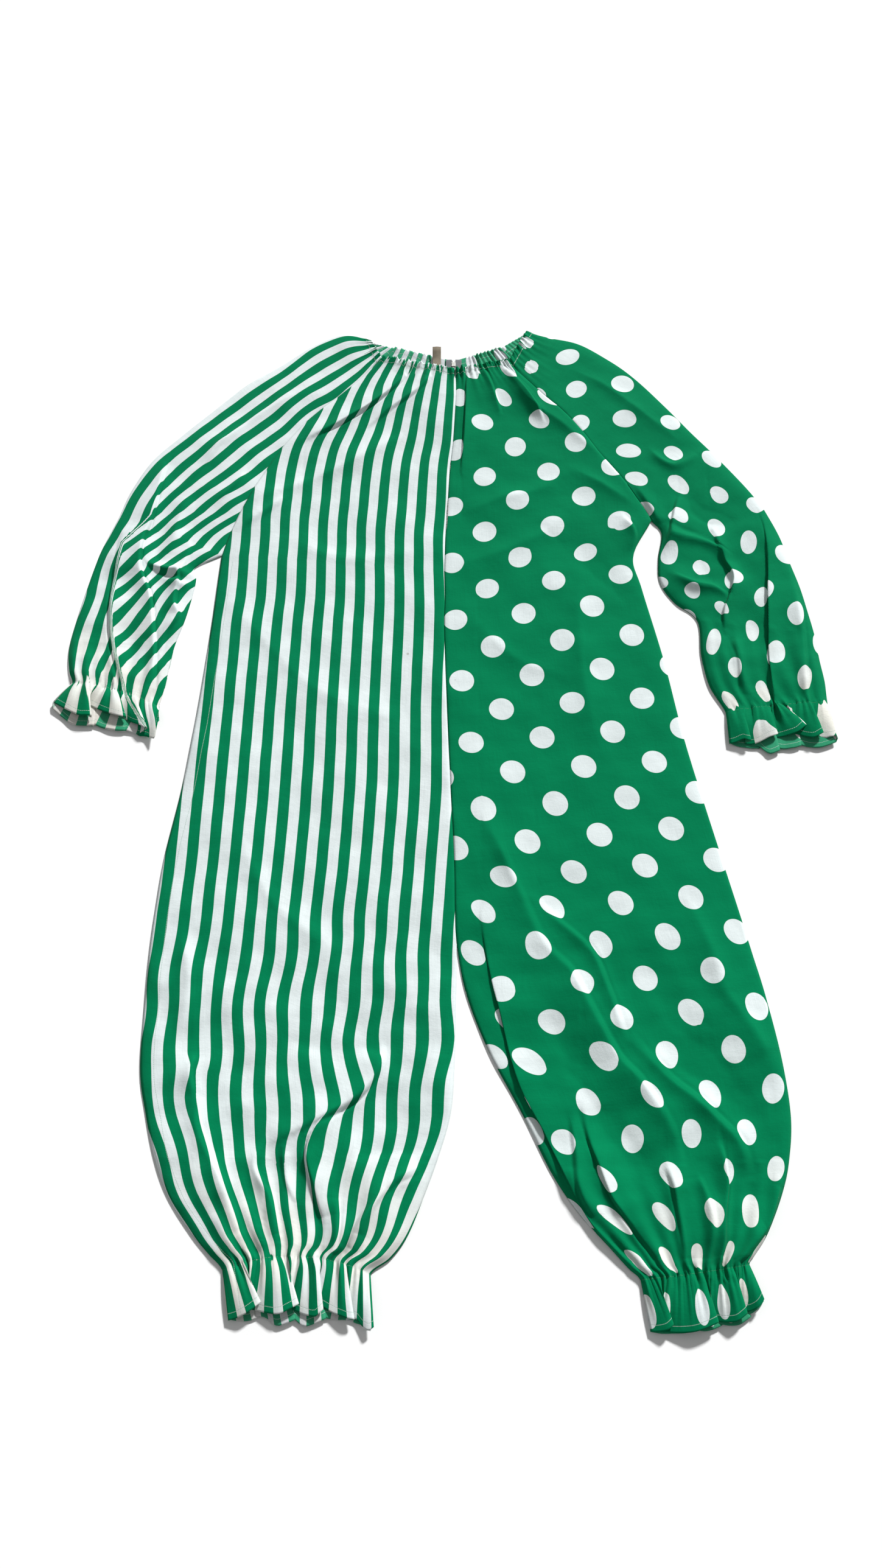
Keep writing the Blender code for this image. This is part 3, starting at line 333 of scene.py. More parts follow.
# The striped sleeve's print beside its long crease, on the side of the inner seam: the crease's
# points, and at places along Y how far the stripes have run into it.
CREASE = (
    (-472, 522), (-484, 425), (-504, 396), (-519, 372), (-521, 313), (-520, 268), (-518, 232), (-514, 197),
    (-505, 158), (-489, 100), (-480, 60),
)
CREASE_RUN = (
    (522, 0), (490, 3), (435, 20), (390, 50), (319, 81), (282, 108), (233, 136), (182, 156), (147, 158),
    (116, 148), (87, 134), (40, 120),
)
CREASE_EDGE = 3.0
# How far the white stripe at the striped sleeve's outer fold reaches past the solid, rows 0 to 10.
STRIPE_EDGE_OUT = (0, 3, 8, 11, 12, 12, 11, 9, 7, 4, 0)

GREEN = (0.0, 0.178, 0.070)
WHITE = (0.66, 0.725, 0.725)
REVERSE_GREEN = (0.035, 0.29, 0.15)
REVERSE_WHITE = (0.60, 0.63, 0.65)
AGED_WHITE = (0.66, 0.61, 0.51)
THREAD = (0.42, 0.56, 0.49)
STAIN = (0.30, 0.27, 0.22)
TAPE_GREY = (0.20, 0.215, 0.225)
# The neck label's cream darkened to a taupe: painted shade of the label standing in the hollow at the back
# neck.
LABEL_CREAM_IN_PAINTED_SHADE = (0.33, 0.28, 0.21)
METAL = (0.60, 0.60, 0.58)
DULL_METAL = (0.33, 0.31, 0.28)

# The two halves of the suit. A drop is how much lower the middle of a back layer's hem hangs, and
# the phases make the waves and puckers of the two halves differ.
Half = namedtuple("Half", "name slot side yoke leg arm hem_drop cuff_drop phase arm_phase "
                          "panel_print sleeve_print ankle_front ankle_back cuff_front cuff_back")
STRIPED = Half("stripe", "striped_cotton", -1, STRIPE_YOKE, STRIPE_LEG, STRIPE_ARM, 13, 14, 0.4, 1.0,
               STRIPE_PRINT, STRIPE_SLEEVE_PRINT,
               STRIPE_ANKLE_FRONT, STRIPE_ANKLE_BACK, STRIPE_CUFF_FRONT, STRIPE_CUFF_BACK)
DOTTED = Half("dot", "dotted_cotton", 1, DOT_YOKE, DOT_LEG, DOT_ARM, 2, 15, 2.1, 3.0,
              DOT_PRINT, DOT_SLEEVE_PRINT,
              DOT_ANKLE_FRONT, DOT_ANKLE_BACK, DOT_CUFF_FRONT, DOT_CUFF_BACK)


# ---- Curves and grids.

def smooth(table, times):
    """Values of a table of rows at fractional row numbers, on a smooth curve through the rows."""
    values = np.array(table, float)
    slopes = np.gradient(values, axis=0)
    low = np.minimum(np.floor(times).astype(int), len(values) - 2)
    u = (times - low)[:, None]
    start, end = slopes[low], slopes[low + 1]
    run = values[low + 1] - values[low]
    return values[low] + u * (start + u * (3 * run - 2 * start - end + u * (start + end - 2 * run)))


def smooth_path(points, count):
    """Points on a smooth curve through a few points."""
    return smooth(points, np.linspace(0, len(points) - 1, count))


def line(table, name):
    """The points of one of a table's lines, such as front for front_x and front_y."""
    return [(getattr(row, name + "_x"), getattr(row, name + "_y")) for row in table]


def edge(yoke_points, limb_points, times):
    """An edge from the neck to the hem. It can turn sharply at the underarm."""
    yoke = smooth(yoke_points, times[times <= YOKE_ROWS])
    limb = smooth(yoke_points[-1:] + limb_points, times[times > YOKE_ROWS] - YOKE_ROWS)
    return np.concatenate([yoke, limb])


def dense_times(points, gathers):
    """Row numbers so that the rows lie at the cloth's steps along an edge's points."""
    times = [0.0]
    for row, (here, there) in enumerate(zip(points, points[1:])):
        close = any(first <= row < last for first, last in gathers)
        count = max(2, round(math.dist(here, there) / (GATHER_STEP if close else BODY_STEP)))
        times += [row + (k + 1) / count for k in range(count)]
    return np.array(times)


def arches(limb, times, hem_drop):
    """How far the middle of each row is lifted; a back layer's hem hangs lower by `hem_drop`."""
    values = [(0,)] + [(row.arch,) for row in limb]
    arch = np.zeros(len(times))
    below = times > YOKE_ROWS
    arch[below] = smooth(values, times[below] - YOKE_ROWS)[:, 0]
    return arch - hem_drop * np.clip((times - YOKE_ROWS - len(limb) + 2) / 2, 0, 1) ** 1.3


def row_heights(special, times):
    """The Height values at each row number."""
    table = zip(*(special.get(row, PLAIN) for row in range(max(special) + 1)))
    return Height(*(np.interp(times, range(max(special) + 1), column)[:, None] for column in table))


def crossways(points):
    """Directions across a line of points, to its right and of length 1."""
    ahead = np.gradient(points, axis=0)
    across_line = np.stack([ahead[:, 1], -ahead[:, 0]], axis=1)
    return across_line / np.linalg.norm(ahead, axis=1)[:, None]


def part_seam(points, times, side):
    """Points whose raglan rows are moved half a gap to one side of the seam, -1 or +1."""
    return points + side * SEAM_GAP / 2 * crossways(points) * (times <= YOKE_ROWS)[:, None]


def across(left, right, arch, shares):
    """A grid of points: each row runs from left to right, its middle lifted by `arch`."""
    shares = np.atleast_2d(shares)
    grid = left[:, None, :] * (1 - shares)[..., None] + right[:, None, :] * shares[..., None]
    grid[..., 1] += np.reshape(arch, (-1, 1)) * 4 * shares * (1 - shares)
    return grid


def run_lengths(points, axis):
    """Distance along a grid's rows or columns from its first point."""
    total = np.cumsum(np.linalg.norm(np.diff(points, axis=axis), axis=2), axis=axis)
    pad = [(0, 0), (0, 0)]
    pad[axis] = (1, 0)
    return np.pad(total, pad)


def away_from(grid, column):
    """Distance of each point of a grid from its row's point in one column."""
    return np.linalg.norm(grid - grid[:, [column]], axis=2)


def fall(times, between):
    """1 above two rows, 0 below them."""
    return np.interp(times, between, (1, 0))[:, None]


def wave(even, count):
    """`count` equal crests from 0 to 1, starting and ending at 0."""
    return (1 - np.cos(2 * math.pi * count * even)) / 2


def uneven(even, phase):
    """A slow change of height from one crest to the next."""
    return 1 + 0.28 * np.sin(9 * even + phase) + 0.12 * np.sin(23 * even + 2 * phase)


def bell(distance, width, power=2):
    """1 at no distance, running out over a width."""
    return np.exp(-((distance / width) ** power))


def ease(value):
    """Smooth step from 0 to 1."""
    value = np.clip(value, 0, 1)
    return value * value * (3 - 2 * value)


# ---- Folds, creases and puckers.

def nearest_on(path, points):
    """For each point: its offset from the path's nearest point, and how far along that is."""
    run = np.diff(path, axis=0)
    away = points[:, None] - path[:-1]
    share = np.clip((away * run).sum(axis=2) / (run**2).sum(axis=1), 0, 1)
    away -= share[..., None] * run
    every = np.arange(len(points))
    nearest = (away**2).sum(axis=2).argmin(axis=1)
    return away[every, nearest], (nearest + share[every, nearest]) / len(run)


Form = namedtuple("Form", "height shift moved sharp")


def fold_form(grid):
    """What the folds do at each point of a grid: its height, its shift along X, the jump of the
    print, and how sharp the form is there."""
    points = grid.reshape(-1, 2)
    height, shift, sharp = np.zeros((3, len(points)))
    moved = np.zeros_like(points)
    for fold in FOLDS:
        path = smooth_path(fold.path, 5 * len(fold.path))
        margin = 3 * max(fold.minus, fold.plus, TUCK_SPREAD * fold.tuck)
        near = ((points > path.min(axis=0) - margin) & (points < path.max(axis=0) + margin)).all(axis=1)
        if not near.any():
            continue
        offset, along = nearest_on(path, points[near])
        away = np.linalg.norm(offset, axis=1) + 1e-6
        side = np.clip(2 * offset[:, 0] / away, -1, 1)
        width = fold.minus + (fold.plus - fold.minus) * (0.5 + 0.5 * side)
        taper = np.sin(math.pi * np.clip(along, 0.02, 0.98)) ** 0.5
        leaning = min(1, abs(fold.lean)) * taper
        steep = fold.plus if fold.lean > 0 else -fold.minus
        crest = FOLD_LIFT * fold.height * taper * bell(away, width, 1.35)
        height[near] += crest
        if fold.lean:
            trench = min(TRENCH, 0.5 * fold.height) * leaning
            height[near] -= trench * bell(side * away - 0.8 * steep, TRENCH_WIDTH)
        shift[near] += LEAN_SHARE * fold.lean * crest
        sharp[near] = np.maximum(sharp[near], leaning * bell(away, SHARP_REACH))
        if fold.tuck:
            from_jump = side * away - 0.6 * steep * np.sign(abs(fold.lean))
            step = 2 * ease(0.5 + from_jump / (1.6 * abs(steep))) - 1
            jump = fold.tuck / 2 * taper**3 * step * bell(np.abs(from_jump), TUCK_SPREAD * fold.tuck, 1)
            moved[near] += (jump * np.sign(side) / away)[:, None] * offset
    height, shift, sharp = np.reshape((height, shift, sharp), (3, *grid.shape[:2]))
    return Form(height, shift, moved.reshape(grid.shape), sharp)


def crowded_shares(left, right, arch, columns):
    """Shares along each row, closer together at sharp folds."""
    even = np.linspace(0, 1, columns + 1)
    sharp = fold_form(across(left, right, arch, even)).sharp
    crowd = 1 + CROWDING * (sharp[:, 1:] + sharp[:, :-1]) / 2
    total = np.pad(np.cumsum(crowd, axis=1), [(0, 0), (1, 0)])
    total /= total[:, -1:]
    return np.stack([np.interp(even, row, even) for row in total])


Ripple = namedtuple("Ripple", "length angle height")
RIPPLES = rows(Ripple,
    (190, 20, 0.75), (120, 75, 0.6), (76, 130, 0.42), (52, 40, 0.26), (34, 100, 0.13), (23, 150, 0.07))


def ripple(grid):
    """Gentle unevenness of cloth that lies flat."""
    x, y = grid[..., 0], grid[..., 1]
    total = np.zeros(grid.shape[:2])
    for k, part in enumerate(RIPPLES):
        angle = math.radians(part.angle)
        run = (x * math.cos(angle) + y * math.sin(angle)) * 2 * math.pi / part.length
        bend = 1.3 * np.sin((x * math.sin(angle) - y * math.cos(angle)) / (part.length * 0.9) + k)
        total += part.height * np.sin(run + bend + 1.7 * k)
    return total


def floor_ridges(grid):
    """Low soft ridges of the layer that lies on the floor. The layer above rides over them."""
    x, y = grid[..., 0], grid[..., 1]
    swing = 25 * np.sin(y / 130) + 9 * np.sin(y / 47)
    run = np.sin((x + swing) / 34 + 1.2 * np.sin(y / 210)) * np.sin((y - 0.3 * x) / 95 + 1)
    return 1.5 * np.clip(run - 0.25, 0, 1) ** 1.5


def puckers(shares, distance, seed, count, height, reach):
    """Small uneven gathers that start at an elastic and run out with the distance from it."""
    random = np.random.default_rng(seed)
    distance = distance[:, None]
    total = np.zeros(np.broadcast_shapes(shares.shape, distance.shape))
    for k in range(count):
        middle = (k + 0.5 + random.uniform(-0.35, 0.35)) / count
        size = random.uniform(0.2, 0.46) / count
        crest = height * random.uniform(0.4, 1.0)
        length = reach * (0.4 + 2.2 * random.uniform(0, 1) ** 4)
        drift = random.uniform(-0.5, 0.5) * size / reach
        spreading = size * (1 + 0.7 * distance / reach)
        total += crest * bell(shares - middle - drift * distance, spreading) * bell(distance, length, 1.3)
    return total


def fine_and_long(shares, distance, seed, sizes):
    """An elastic's fine puckers and its long ones."""
    return sum(puckers(shares, distance, seed + 2 * k, *size) for k, size in enumerate(sizes))


def loose(times, low_rows):
    """1 where the cloth lies loosely above an elastic, 0 elsewhere."""
    return np.interp(times, low_rows, (0.0, 1.0, 1.0, 0.35))[:, None]


def bunching(shares, distance, seed):
    """How far the print is moved sideways where the cloth is bunched by an elastic."""
    random = np.random.default_rng(seed)
    total = 0 * shares
    for count in (9, 16, 27):
        bend = random.uniform(0, 6) + 0.25 * np.sin(distance / 11 + count)[:, None]
        sway = 2.2 * np.sin(9 * shares + count) + bend
        total = total + np.sin(2 * math.pi * count * shares + sway) * 54 / count
    return total * bell(distance, BUNCH_FADE, 1)[:, None]


def wander(grid):
    """The slow sideways wandering of the threads in loose cloth."""
    x, y = grid[..., 0], grid[..., 1]
    return 2.6 * np.sin(y / 31 + x / 58) + 1.6 * np.sin(y / 17 - x / 43 + 1)


def hem_curve(lobes, shares):
    """Points of a ruffle's hem at shares of its length. The cloth loops under at each lobe's tip."""
    points = []
    for lobe, after in zip(lobes, lobes[1:] + (None,)):
        start, low, tip = np.reshape(lobe[:6], (3, 2))
        points += [
            (*start, LOBE_LOW + 1),
            (*(start + low) / 2 - (0, 1), lobe.height * 0.62),
            (*low, lobe.height * 0.92),
            (*(low + tip) / 2 - (0, 1), lobe.height),
            (*tip, lobe.height * (0.9 if after else 1)),
        ]
        if after:
            turn = 1 if lobe.tip_x > lobe.start_x else -1
            points += [
                (lobe.tip_x - turn * 5, lobe.tip_y, lobe.height * 0.55),
                (after.start_x - turn * LOBE_LAP, after.start_y + 2, LOBE_LOW),
            ]
    curve = smooth_path(points, 40 * len(points))
    run = np.concatenate([[0], np.cumsum(np.linalg.norm(np.diff(curve, axis=0), axis=1))])
    return np.stack([np.interp(shares, run / run[-1], curve[:, k]) for k in range(3)], axis=-1)


def with_ruffle(grid, z, times, elastic_row, lobes, low_share, reverse):
    """Points of a grid with their heights. The rows below the elastic are led to the ruffle's hem."""
    points = np.concatenate([grid, z[..., None]], axis=2)
    shares = np.linspace(0, 1, points.shape[1])
    hem = hem_curve(lobes, 1 - shares if reverse else shares)
    hem[:, 2] *= low_share
    first = int(np.searchsorted(times, elastic_row))
    start = points[first].copy()
    for row in range(first + 1, len(times)):
        share = (times[row] - elastic_row) / (times[-1] - elastic_row)
        small = points[row, :, 2] - points[row, :, 2].min()
        points[row] = start * (1 - share) + hem * share
        points[row, :, 2] += small * (1 - share) * share * 2
        points[row, :, 2] += 1.5 * math.sin(math.pi * share)
    return points


# ---- Sheets.

def add_object(name, data):
    item = bpy.data.objects.new(name, data)
    bpy.context.scene.collection.objects.link(item)
    return item


def cloth_object(name, points, maps, materials, flip):
    """A sheet of cloth from a grid of points in millimetres, with its maps as UV layers."""
    height, width = points.shape[:2]
    index = np.arange(height * width).reshape(height, width)
    corners = [index[:-1, :-1], index[1:, :-1], index[1:, 1:], index[:-1, 1:]]
    if flip:
        corners = corners[::-1]
    faces = np.stack(corners, axis=-1).reshape(-1, 4)
    mesh = bpy.data.meshes.new(name)
    mesh.from_pydata((points.reshape(-1, 3) * MM).tolist(), [], faces.tolist())
    for map_name, values in maps.items():
        layer = mesh.uv_layers.new(name=map_name)
        places = values.reshape(-1, 2)[faces.ravel()] * MM
        layer.data.foreach_set("uv", places.astype(np.float32).ravel())
    mesh.shade_smooth()
    for material in materials:
        mesh.materials.append(material)
    mesh.validate()
    piece = add_object(name, mesh)
    wall = piece.modifiers.new("thickness", "SOLIDIFY")
    wall.thickness = CLOTH * MM
    wall.offset = 0
    wall.material_offset = len(materials) - 1
    return piece


def place_on_cloth(table, times, shares, along):
    """Place on the printed cloth of each point of a panel or sleeve, in millimetres."""
    places = smooth(table, times)
    u = places[:, :1] * (1 - shares) + places[:, 1:2] * shares
    if places.shape[1] == 2:
        return np.stack([u, np.broadcast_to(along, u.shape)], axis=-1)
    v = places[:, 2:3] * (1 - shares) + places[:, 3:4] * shares
    return np.stack([u * DOT_COLUMN, v * DOT_PERIOD], axis=-1)


def sewn_sheet(name, points, fabric, times, elastic_row, from_neck, materials, flip):
    """A panel or sleeve. Its UV layers are its print, its distances to the hem and neck and to its
    sides, and its distance to the elastic above the ruffle."""
    down = run_lengths(points, 0)
    over = run_lengths(points, 1)
    elastic = int(np.searchsorted(times, elastic_row))
    maps = {
        "print": fabric,
        "ends": np.stack([down[-1:] - down, from_neck], axis=-1),
        "sides": np.stack([over, over[:, -1:] - over], axis=-1),
        "elastic": np.stack([down - down[[elastic]], fabric[..., 0]], axis=-1),
    }
    return cloth_object(name, points, maps, materials, flip)


def casing_step(distance):
    """The doubled cloth of the neck's casing stands a little higher."""
    return 0.9 * ease((CASING + 0.8 - distance) / 1.6)


# How a front layer lies: its height, its shift along X, and how its print jumps and drifts.
Lie = namedtuple("Lie", "z shift moved drift")


def front_lie(cut, grid, shares, even, times, from_neck, phase, seed, edges):
    """How a front layer lies. Each edge is a column, how firmly a seam holds it up, and its ditch."""
    heights = row_heights(cut.heights, times)
    profile = ditch = 1
    for column, hold, depth in edges:
        away = away_from(grid, column)
        profile = profile * (1 - (1 - hold) * bell(away, EDGE_ROLL, 1))
        ditch = ditch * (1 - depth * hold * bell(away, DITCH_WIDTH))
    neck = from_neck.mean(axis=1)
    down = run_lengths(grid, 0).mean(axis=1)
    elastic = np.abs(down - np.interp(cut.elastic_row, times, down))
    small = fine_and_long(shares, neck, seed, cut.neck_puckers)
    small = small + fine_and_long(shares, elastic, seed + 1, cut.end_puckers)
    pleat = heights.pleat * wave(even, cut.pleats) * uneven(even, phase + 4)
    pleat *= np.where(times < cut.nest_row, bell(neck, NECK_FADE, 1), 1)[:, None]
    nested = np.where((times >= cut.nest_row)[:, None], heights.back_pleat + heights.back_lobe, 0)
    looseness = loose(times, cut.loose_rows)
    form = fold_form(grid)
    waves = ripple(grid) * (1 + LOOSE_WAVES * looseness)
    air = np.maximum(heights.puff + AIR + form.height + waves, LEAST_AIR)
    z = FRONT_Z + heights.lift + nested + floor_ridges(grid)
    z += ((air + small) * profile + casing_step(from_neck)) * ditch + pleat
    drift = bunching(shares, neck, seed + 4) + bunching(shares, elastic, seed + 5)
    return Lie(z, form.shift * profile, form.moved, drift + wander(grid) * looseness)


# ---- Panels of the body and legs.

def body_times(leg):
    return dense_times(line(CENTRE, "front") + line(leg, "inner"), BODY.gathers)


def body_grid(half, layer, times):
    """Points of a panel as x, y, with columns from its outer edge to its centre edge."""
    outer = part_seam(edge(line(half.yoke, layer), line(half.leg, "side"), times), times, half.side)
    centre = edge(line(CENTRE, layer), line(half.leg, "inner"), times)
    centre[times <= CROTCH_ROW, 0] += half.side * SEAM_GAP / 2
    arch = arches(half.leg, times, half.hem_drop if layer == "back" else 0)
    if layer == "front":
        shares = crowded_shares(outer, centre, arch, FRONT_COLUMNS)
    else:
        centre[times <= ZIP_BOTTOM_ROW, 0] += half.side * ZIP_SLOT_HALF
        shares = np.tile(np.linspace(0, 1, BACK_COLUMNS + 1), (len(times), 1))
    return across(outer, centre, arch, shares), shares


def build_front(half, materials):
    times = body_times(half.leg)
    grid, shares = body_grid(half, "front", times)
    from_neck = run_lengths(grid, 0)
    even = shares if half.side < 0 else 1 - shares
    edges = ((0, fall(times, SEAM_FALLS), RAGLAN_DITCH), (-1, fall(times, CROTCH_FALLS), CENTRE_DITCH))
    lie = front_lie(BODY, grid, shares, even, times, from_neck, half.phase, int(10 * half.phase), edges)
    fabric = place_on_cloth(half.panel_print, times, shares, from_neck) + lie.moved * (1, -1)
    fabric[..., 0] += lie.drift
    grid[..., 0] += lie.shift
    raglan_row = times <= SEAM_FALLS[0]
    outward = grid[raglan_row, 0] - grid[raglan_row, 1]
    grid[raglan_row, 0] += SEAM_LAP * outward / np.linalg.norm(outward, axis=1)[:, None]
    if half.side < 0:
        seam_row = times <= CROTCH_ROW
        grid[seam_row, -1, 0] += SEAM_LAP
        lie.z[seam_row, -1] -= CLOTH
    points = with_ruffle(grid, lie.z, times, BODY.elastic_row, half.ankle_front, 1, half.side > 0)
    return sewn_sheet("cloth_front_" + half.name, points, fabric, times, BODY.elastic_row, from_neck,
                      materials, half.side > 0)


def build_back(half, materials):
    times = body_times(half.leg)
    plain = (times > BODY.gathers[0][1]) & (times < BODY.gathers[1][0])
    times = times[~plain | (np.arange(len(times)) % 2 == 0)]
    grid, shares = body_grid(half, "back", times)
    past_zip = np.clip((away_from(grid, -1) - PLEAT_CLEAR) / PLEAT_FADE, 0, 1)
    above_nest = (times < BODY.nest_row)[:, None]
    lift = np.interp(times, range(len(ZIP_LIFT)), ZIP_LIFT)[:, None]
    from_neck = run_lengths(grid, 0)
    waves = row_heights(BODY.heights, times).back_pleat * wave(shares, BODY.pleats)
    waves += puckers(shares, from_neck.mean(axis=1), int(10 * half.phase) + 5, *BACK_PUCKERS)
    waves += casing_step(from_neck) * 0.5
    z = BACK_Z + waves * np.where(above_nest, past_zip, 1) + lift * (1 - past_zip)
    z += floor_ridges(grid) * past_zip
    fabric = place_on_cloth(half.panel_print, times, shares, from_neck)
    points = with_ruffle(grid, z, times, BODY.elastic_row, half.ankle_back, BACK_LOBES_LOWER, half.side > 0)
    return sewn_sheet("cloth_back_" + half.name, points, fabric, times, BODY.elastic_row, from_neck,
                      materials, half.side < 0)


# ---- Sleeves.

def crease_run(grid):
    """How far the stripes beside the long crease have run into it at each point of a grid."""
    x, y = grid[..., 0], grid[..., 1]
    crease, run = np.array(CREASE[::-1], float), np.array(CREASE_RUN[::-1], float)
    beside = x - np.interp(y, crease[:, 1], crease[:, 0])
    return ease(0.5 + beside / (2 * CREASE_EDGE)) * np.interp(y, run[:, 0], run[:, 1])


def build_sleeve(half, materials):
    """A sleeve is one piece of cloth: front layer, outer fold and under layer."""
    side = half.side
    times = dense_times(line(half.yoke, "fold") + line(half.arm, "fold"), SLEEVE.gathers)
    fold, front, back = (
        edge(line(half.yoke, yoke_line), line(half.arm, arm_line), times)
        for yoke_line, arm_line in (("fold", "fold"), ("front", "under"), ("back", "under"))
    )
    if side < 0:
        fold += np.interp(times, range(YOKE_ROWS + 1), STRIPE_EDGE_OUT)[:, None] * crossways(fold)
    front, back = part_seam(front, times, -side), part_seam(back, times, -side)
    arch = arches(half.arm, times, 0)
    shares = crowded_shares(front, fold, arch, SLEEVE_COLUMNS)
    even = np.linspace(0, 1, SLEEVE_COLUMNS + 1)[None]
    upper = across(front, fold, arch, shares)
    lower = across(back, fold, arches(half.arm, times, half.cuff_drop), even)

    along = run_lengths(fold[:, None, :], 0)
    seed = int(10 * half.arm_phase) + 50
    edges = ((0, fall(times, SEAM_FALLS), RAGLAN_DITCH), (-1, 0, 0))
    lie = front_lie(SLEEVE, upper, shares, shares, times, np.repeat(along, shares.shape[1], axis=1),
                    half.arm_phase, seed, edges)
    lie.z[times <= SEAM_FALLS[0], 0] -= CLOTH
    fabric = place_on_cloth(half.sleeve_print, times, 1 - shares, along) + lie.moved * (side, -1)
    fabric[..., 0] += lie.drift
    if side < 0:
        fabric[..., 0] += crease_run(upper)
    turn = place_on_cloth(half.sleeve_print, times, 0 * even[:, :1], along)
    under = place_on_cloth(half.sleeve_print, times, even - 1, along)
    fabric = np.concatenate([fabric, turn, under[:, ::-1]], axis=1)

    upper[..., 0] += lie.shift
    lower_z = BACK_Z + row_heights(SLEEVE.heights, times).back_pleat * wave(even, SLEEVE.pleats)
    lower_z += floor_ridges(lower)
    top = with_ruffle(upper, lie.z, times, SLEEVE.elastic_row, half.cuff_front, 1, side < 0)
    bottom = with_ruffle(lower, lower_z, times, SLEEVE.elastic_row, half.cuff_back, BACK_LOBES_LOWER,
                         side < 0)
    bend = (top[:, -1:] + bottom[:, -1:]) / 2
    bend[..., 0] += side * (top[:, -1:, 2] - bottom[:, -1:, 2]) * FOLD_BULGE
    points = np.concatenate([top, bend, bottom[:, ::-1]], axis=1)
    around = np.repeat(along, points.shape[1], axis=1)
    return sewn_sheet("cloth_sleeve_" + half.name, points, fabric, times, SLEEVE.elastic_row, around,
                      materials, side < 0)


# ---- Zip and label.

TAPE_EDGE = 0.3         # from the zip's middle to a tape's inner edge
TAPE_FLARE = 3.2        # the same at the neck, where the tapes part
TAPE_WIDTH = 13.8
TAPE_UNDER = 2.2        # height of the tapes' undersides over the back's lift
TAPE_STEP = 6.0
TAPE_COLUMNS = 8
TOOTH_PITCH = 1.6
TOOTH_ON_TAPE = 1.1     # how far a tooth reaches onto its own tape
TOOTH_OVER = 0.8        # and how far over the zip's middle
TOOTH_HEIGHT = 0.7
TOOTH_SINK = 0.05       # how deep its foot is in the tape
TOOTH_FACES = ((0, 1, 5, 4), (1, 3, 7, 5), (3, 2, 6, 7), (2, 0, 4, 6), (0, 2, 3, 1), (4, 5, 7, 6))
SLIDER_HALF = 6.0       # no teeth are made within this of the slider's middle
TEETH_ABOVE = 9.0       # nor more than this above it
LABEL_LEFT, LABEL_RIGHT = -15.8, -1.2
LABEL_PATH = ((751, 5.1), (760, 5.2), (768, 6.3), (776, 9.3), (783, 12.5), (789, 13.5))    # y, z
LABEL_COLUMNS = 10


def zip_lines(side, step):
    """Points every `step` along a tape's inner and outer edges, from the neck down, and the
    heights of its underside."""
    middle = (line(CENTRE, "back") + line(STRIPE_LEG, "inner"))[: ZIP_BOTTOM_ROW + 1]
    length = sum(math.dist(here, there) for here, there in zip(middle, middle[1:]))
    places = np.linspace(0, ZIP_BOTTOM_ROW, int(length / step))
    points = smooth(middle, places)
    flare = TAPE_EDGE + (TAPE_FLARE - TAPE_EDGE) * np.clip(1 - places, 0, 1)
    inner = points + np.stack([side * flare, 0 * flare], axis=1)
    under = TAPE_UNDER + np.interp(places, range(len(ZIP_LIFT)), ZIP_LIFT)
    return inner, points + np.array([side * TAPE_WIDTH, 0]), under


def build_strip(name, left, right, shares, z, material, flip):
    """A narrow sheet between two lines of points."""
    points = np.concatenate([across(left, right, 0 * left[:, 0], shares), z[..., None]], axis=2)
    fabric = np.stack([run_lengths(points, 1), run_lengths(points, 0)], axis=-1)
    return cloth_object(name, points, {"print": fabric}, (material,), flip)


def build_tape(name, side, material):
    inner, outer, under = zip_lines(side, TAPE_STEP)
    shares = np.linspace(0, 1, TAPE_COLUMNS + 1)
    swell = 0.25 * bell(shares - 0.08, 0.08)
    return build_strip(name, inner, outer, shares, under[:, None] + CLOTH / 2 + swell, material, side < 0)


def build_label(name, material):
    path = smooth_path(LABEL_PATH, 24)
    shares = np.linspace(0, 1, LABEL_COLUMNS + 1)
    left, right = (np.stack([0 * path[:, 0] + x, path[:, 0]], axis=1) for x in (LABEL_LEFT, LABEL_RIGHT))
    z = path[:, 1:] + CLOTH / 2 + 0.7 * wave(shares, 1)
    return build_strip(name, left, right, shares, z, material, False)


def build_teeth(name, side, metal):
    """The zip's teeth on one tape, as one mesh: tapered blocks that stand over the tape's edge."""
    inner, _, under = zip_lines(side, TOOTH_PITCH)
    ends = ((side * TOOTH_ON_TAPE, 0.5), (-side * TOOTH_OVER, 0.32))
    mesh = bmesh.new()
    for (x, y), z in zip(inner, under):
        if abs(y - SLIDER_Y) < SLIDER_HALF or y > SLIDER_Y + TEETH_ABOVE:
            continue
        base = z + CLOTH
        low, high = (
            [mesh.verts.new(((x + dx * length) * MM, (y + s * half * width) * MM, height * MM))
             for dx, half in ends for s in (-1, 1)]
            for length, width, height in ((1, 1, base - TOOTH_SINK), (0.8, 0.7, base + TOOTH_HEIGHT))
        )
        corners = low + high
        for face in TOOTH_FACES:
            mesh.faces.new([corners[k] for k in face])
    bmesh.ops.recalc_face_normals(mesh, faces=mesh.faces)
    data = bpy.data.meshes.new(name)
    mesh.to_mesh(data)
    mesh.free()
    data.materials.append(metal)
    return add_object(name, data)


# ---- Materials.

def put(socket, value):
    """Links a value to a node's input, or sets a number or colour there."""
    if isinstance(value, Value):
        socket.id_data.links.new(value.socket, socket)
    else:
        socket.default_value = value


def add_node(tree, kind, inputs, output=0, **settings):
    """The output of a new node. Its inputs are given by number or name."""
    node = tree.nodes.new("ShaderNode" + kind)
    for name, value in settings.items():
        setattr(node, name, value)
    for key, value in dict(inputs).items():
        put(node.inputs[key], value)
    return Value(node.outputs[output])


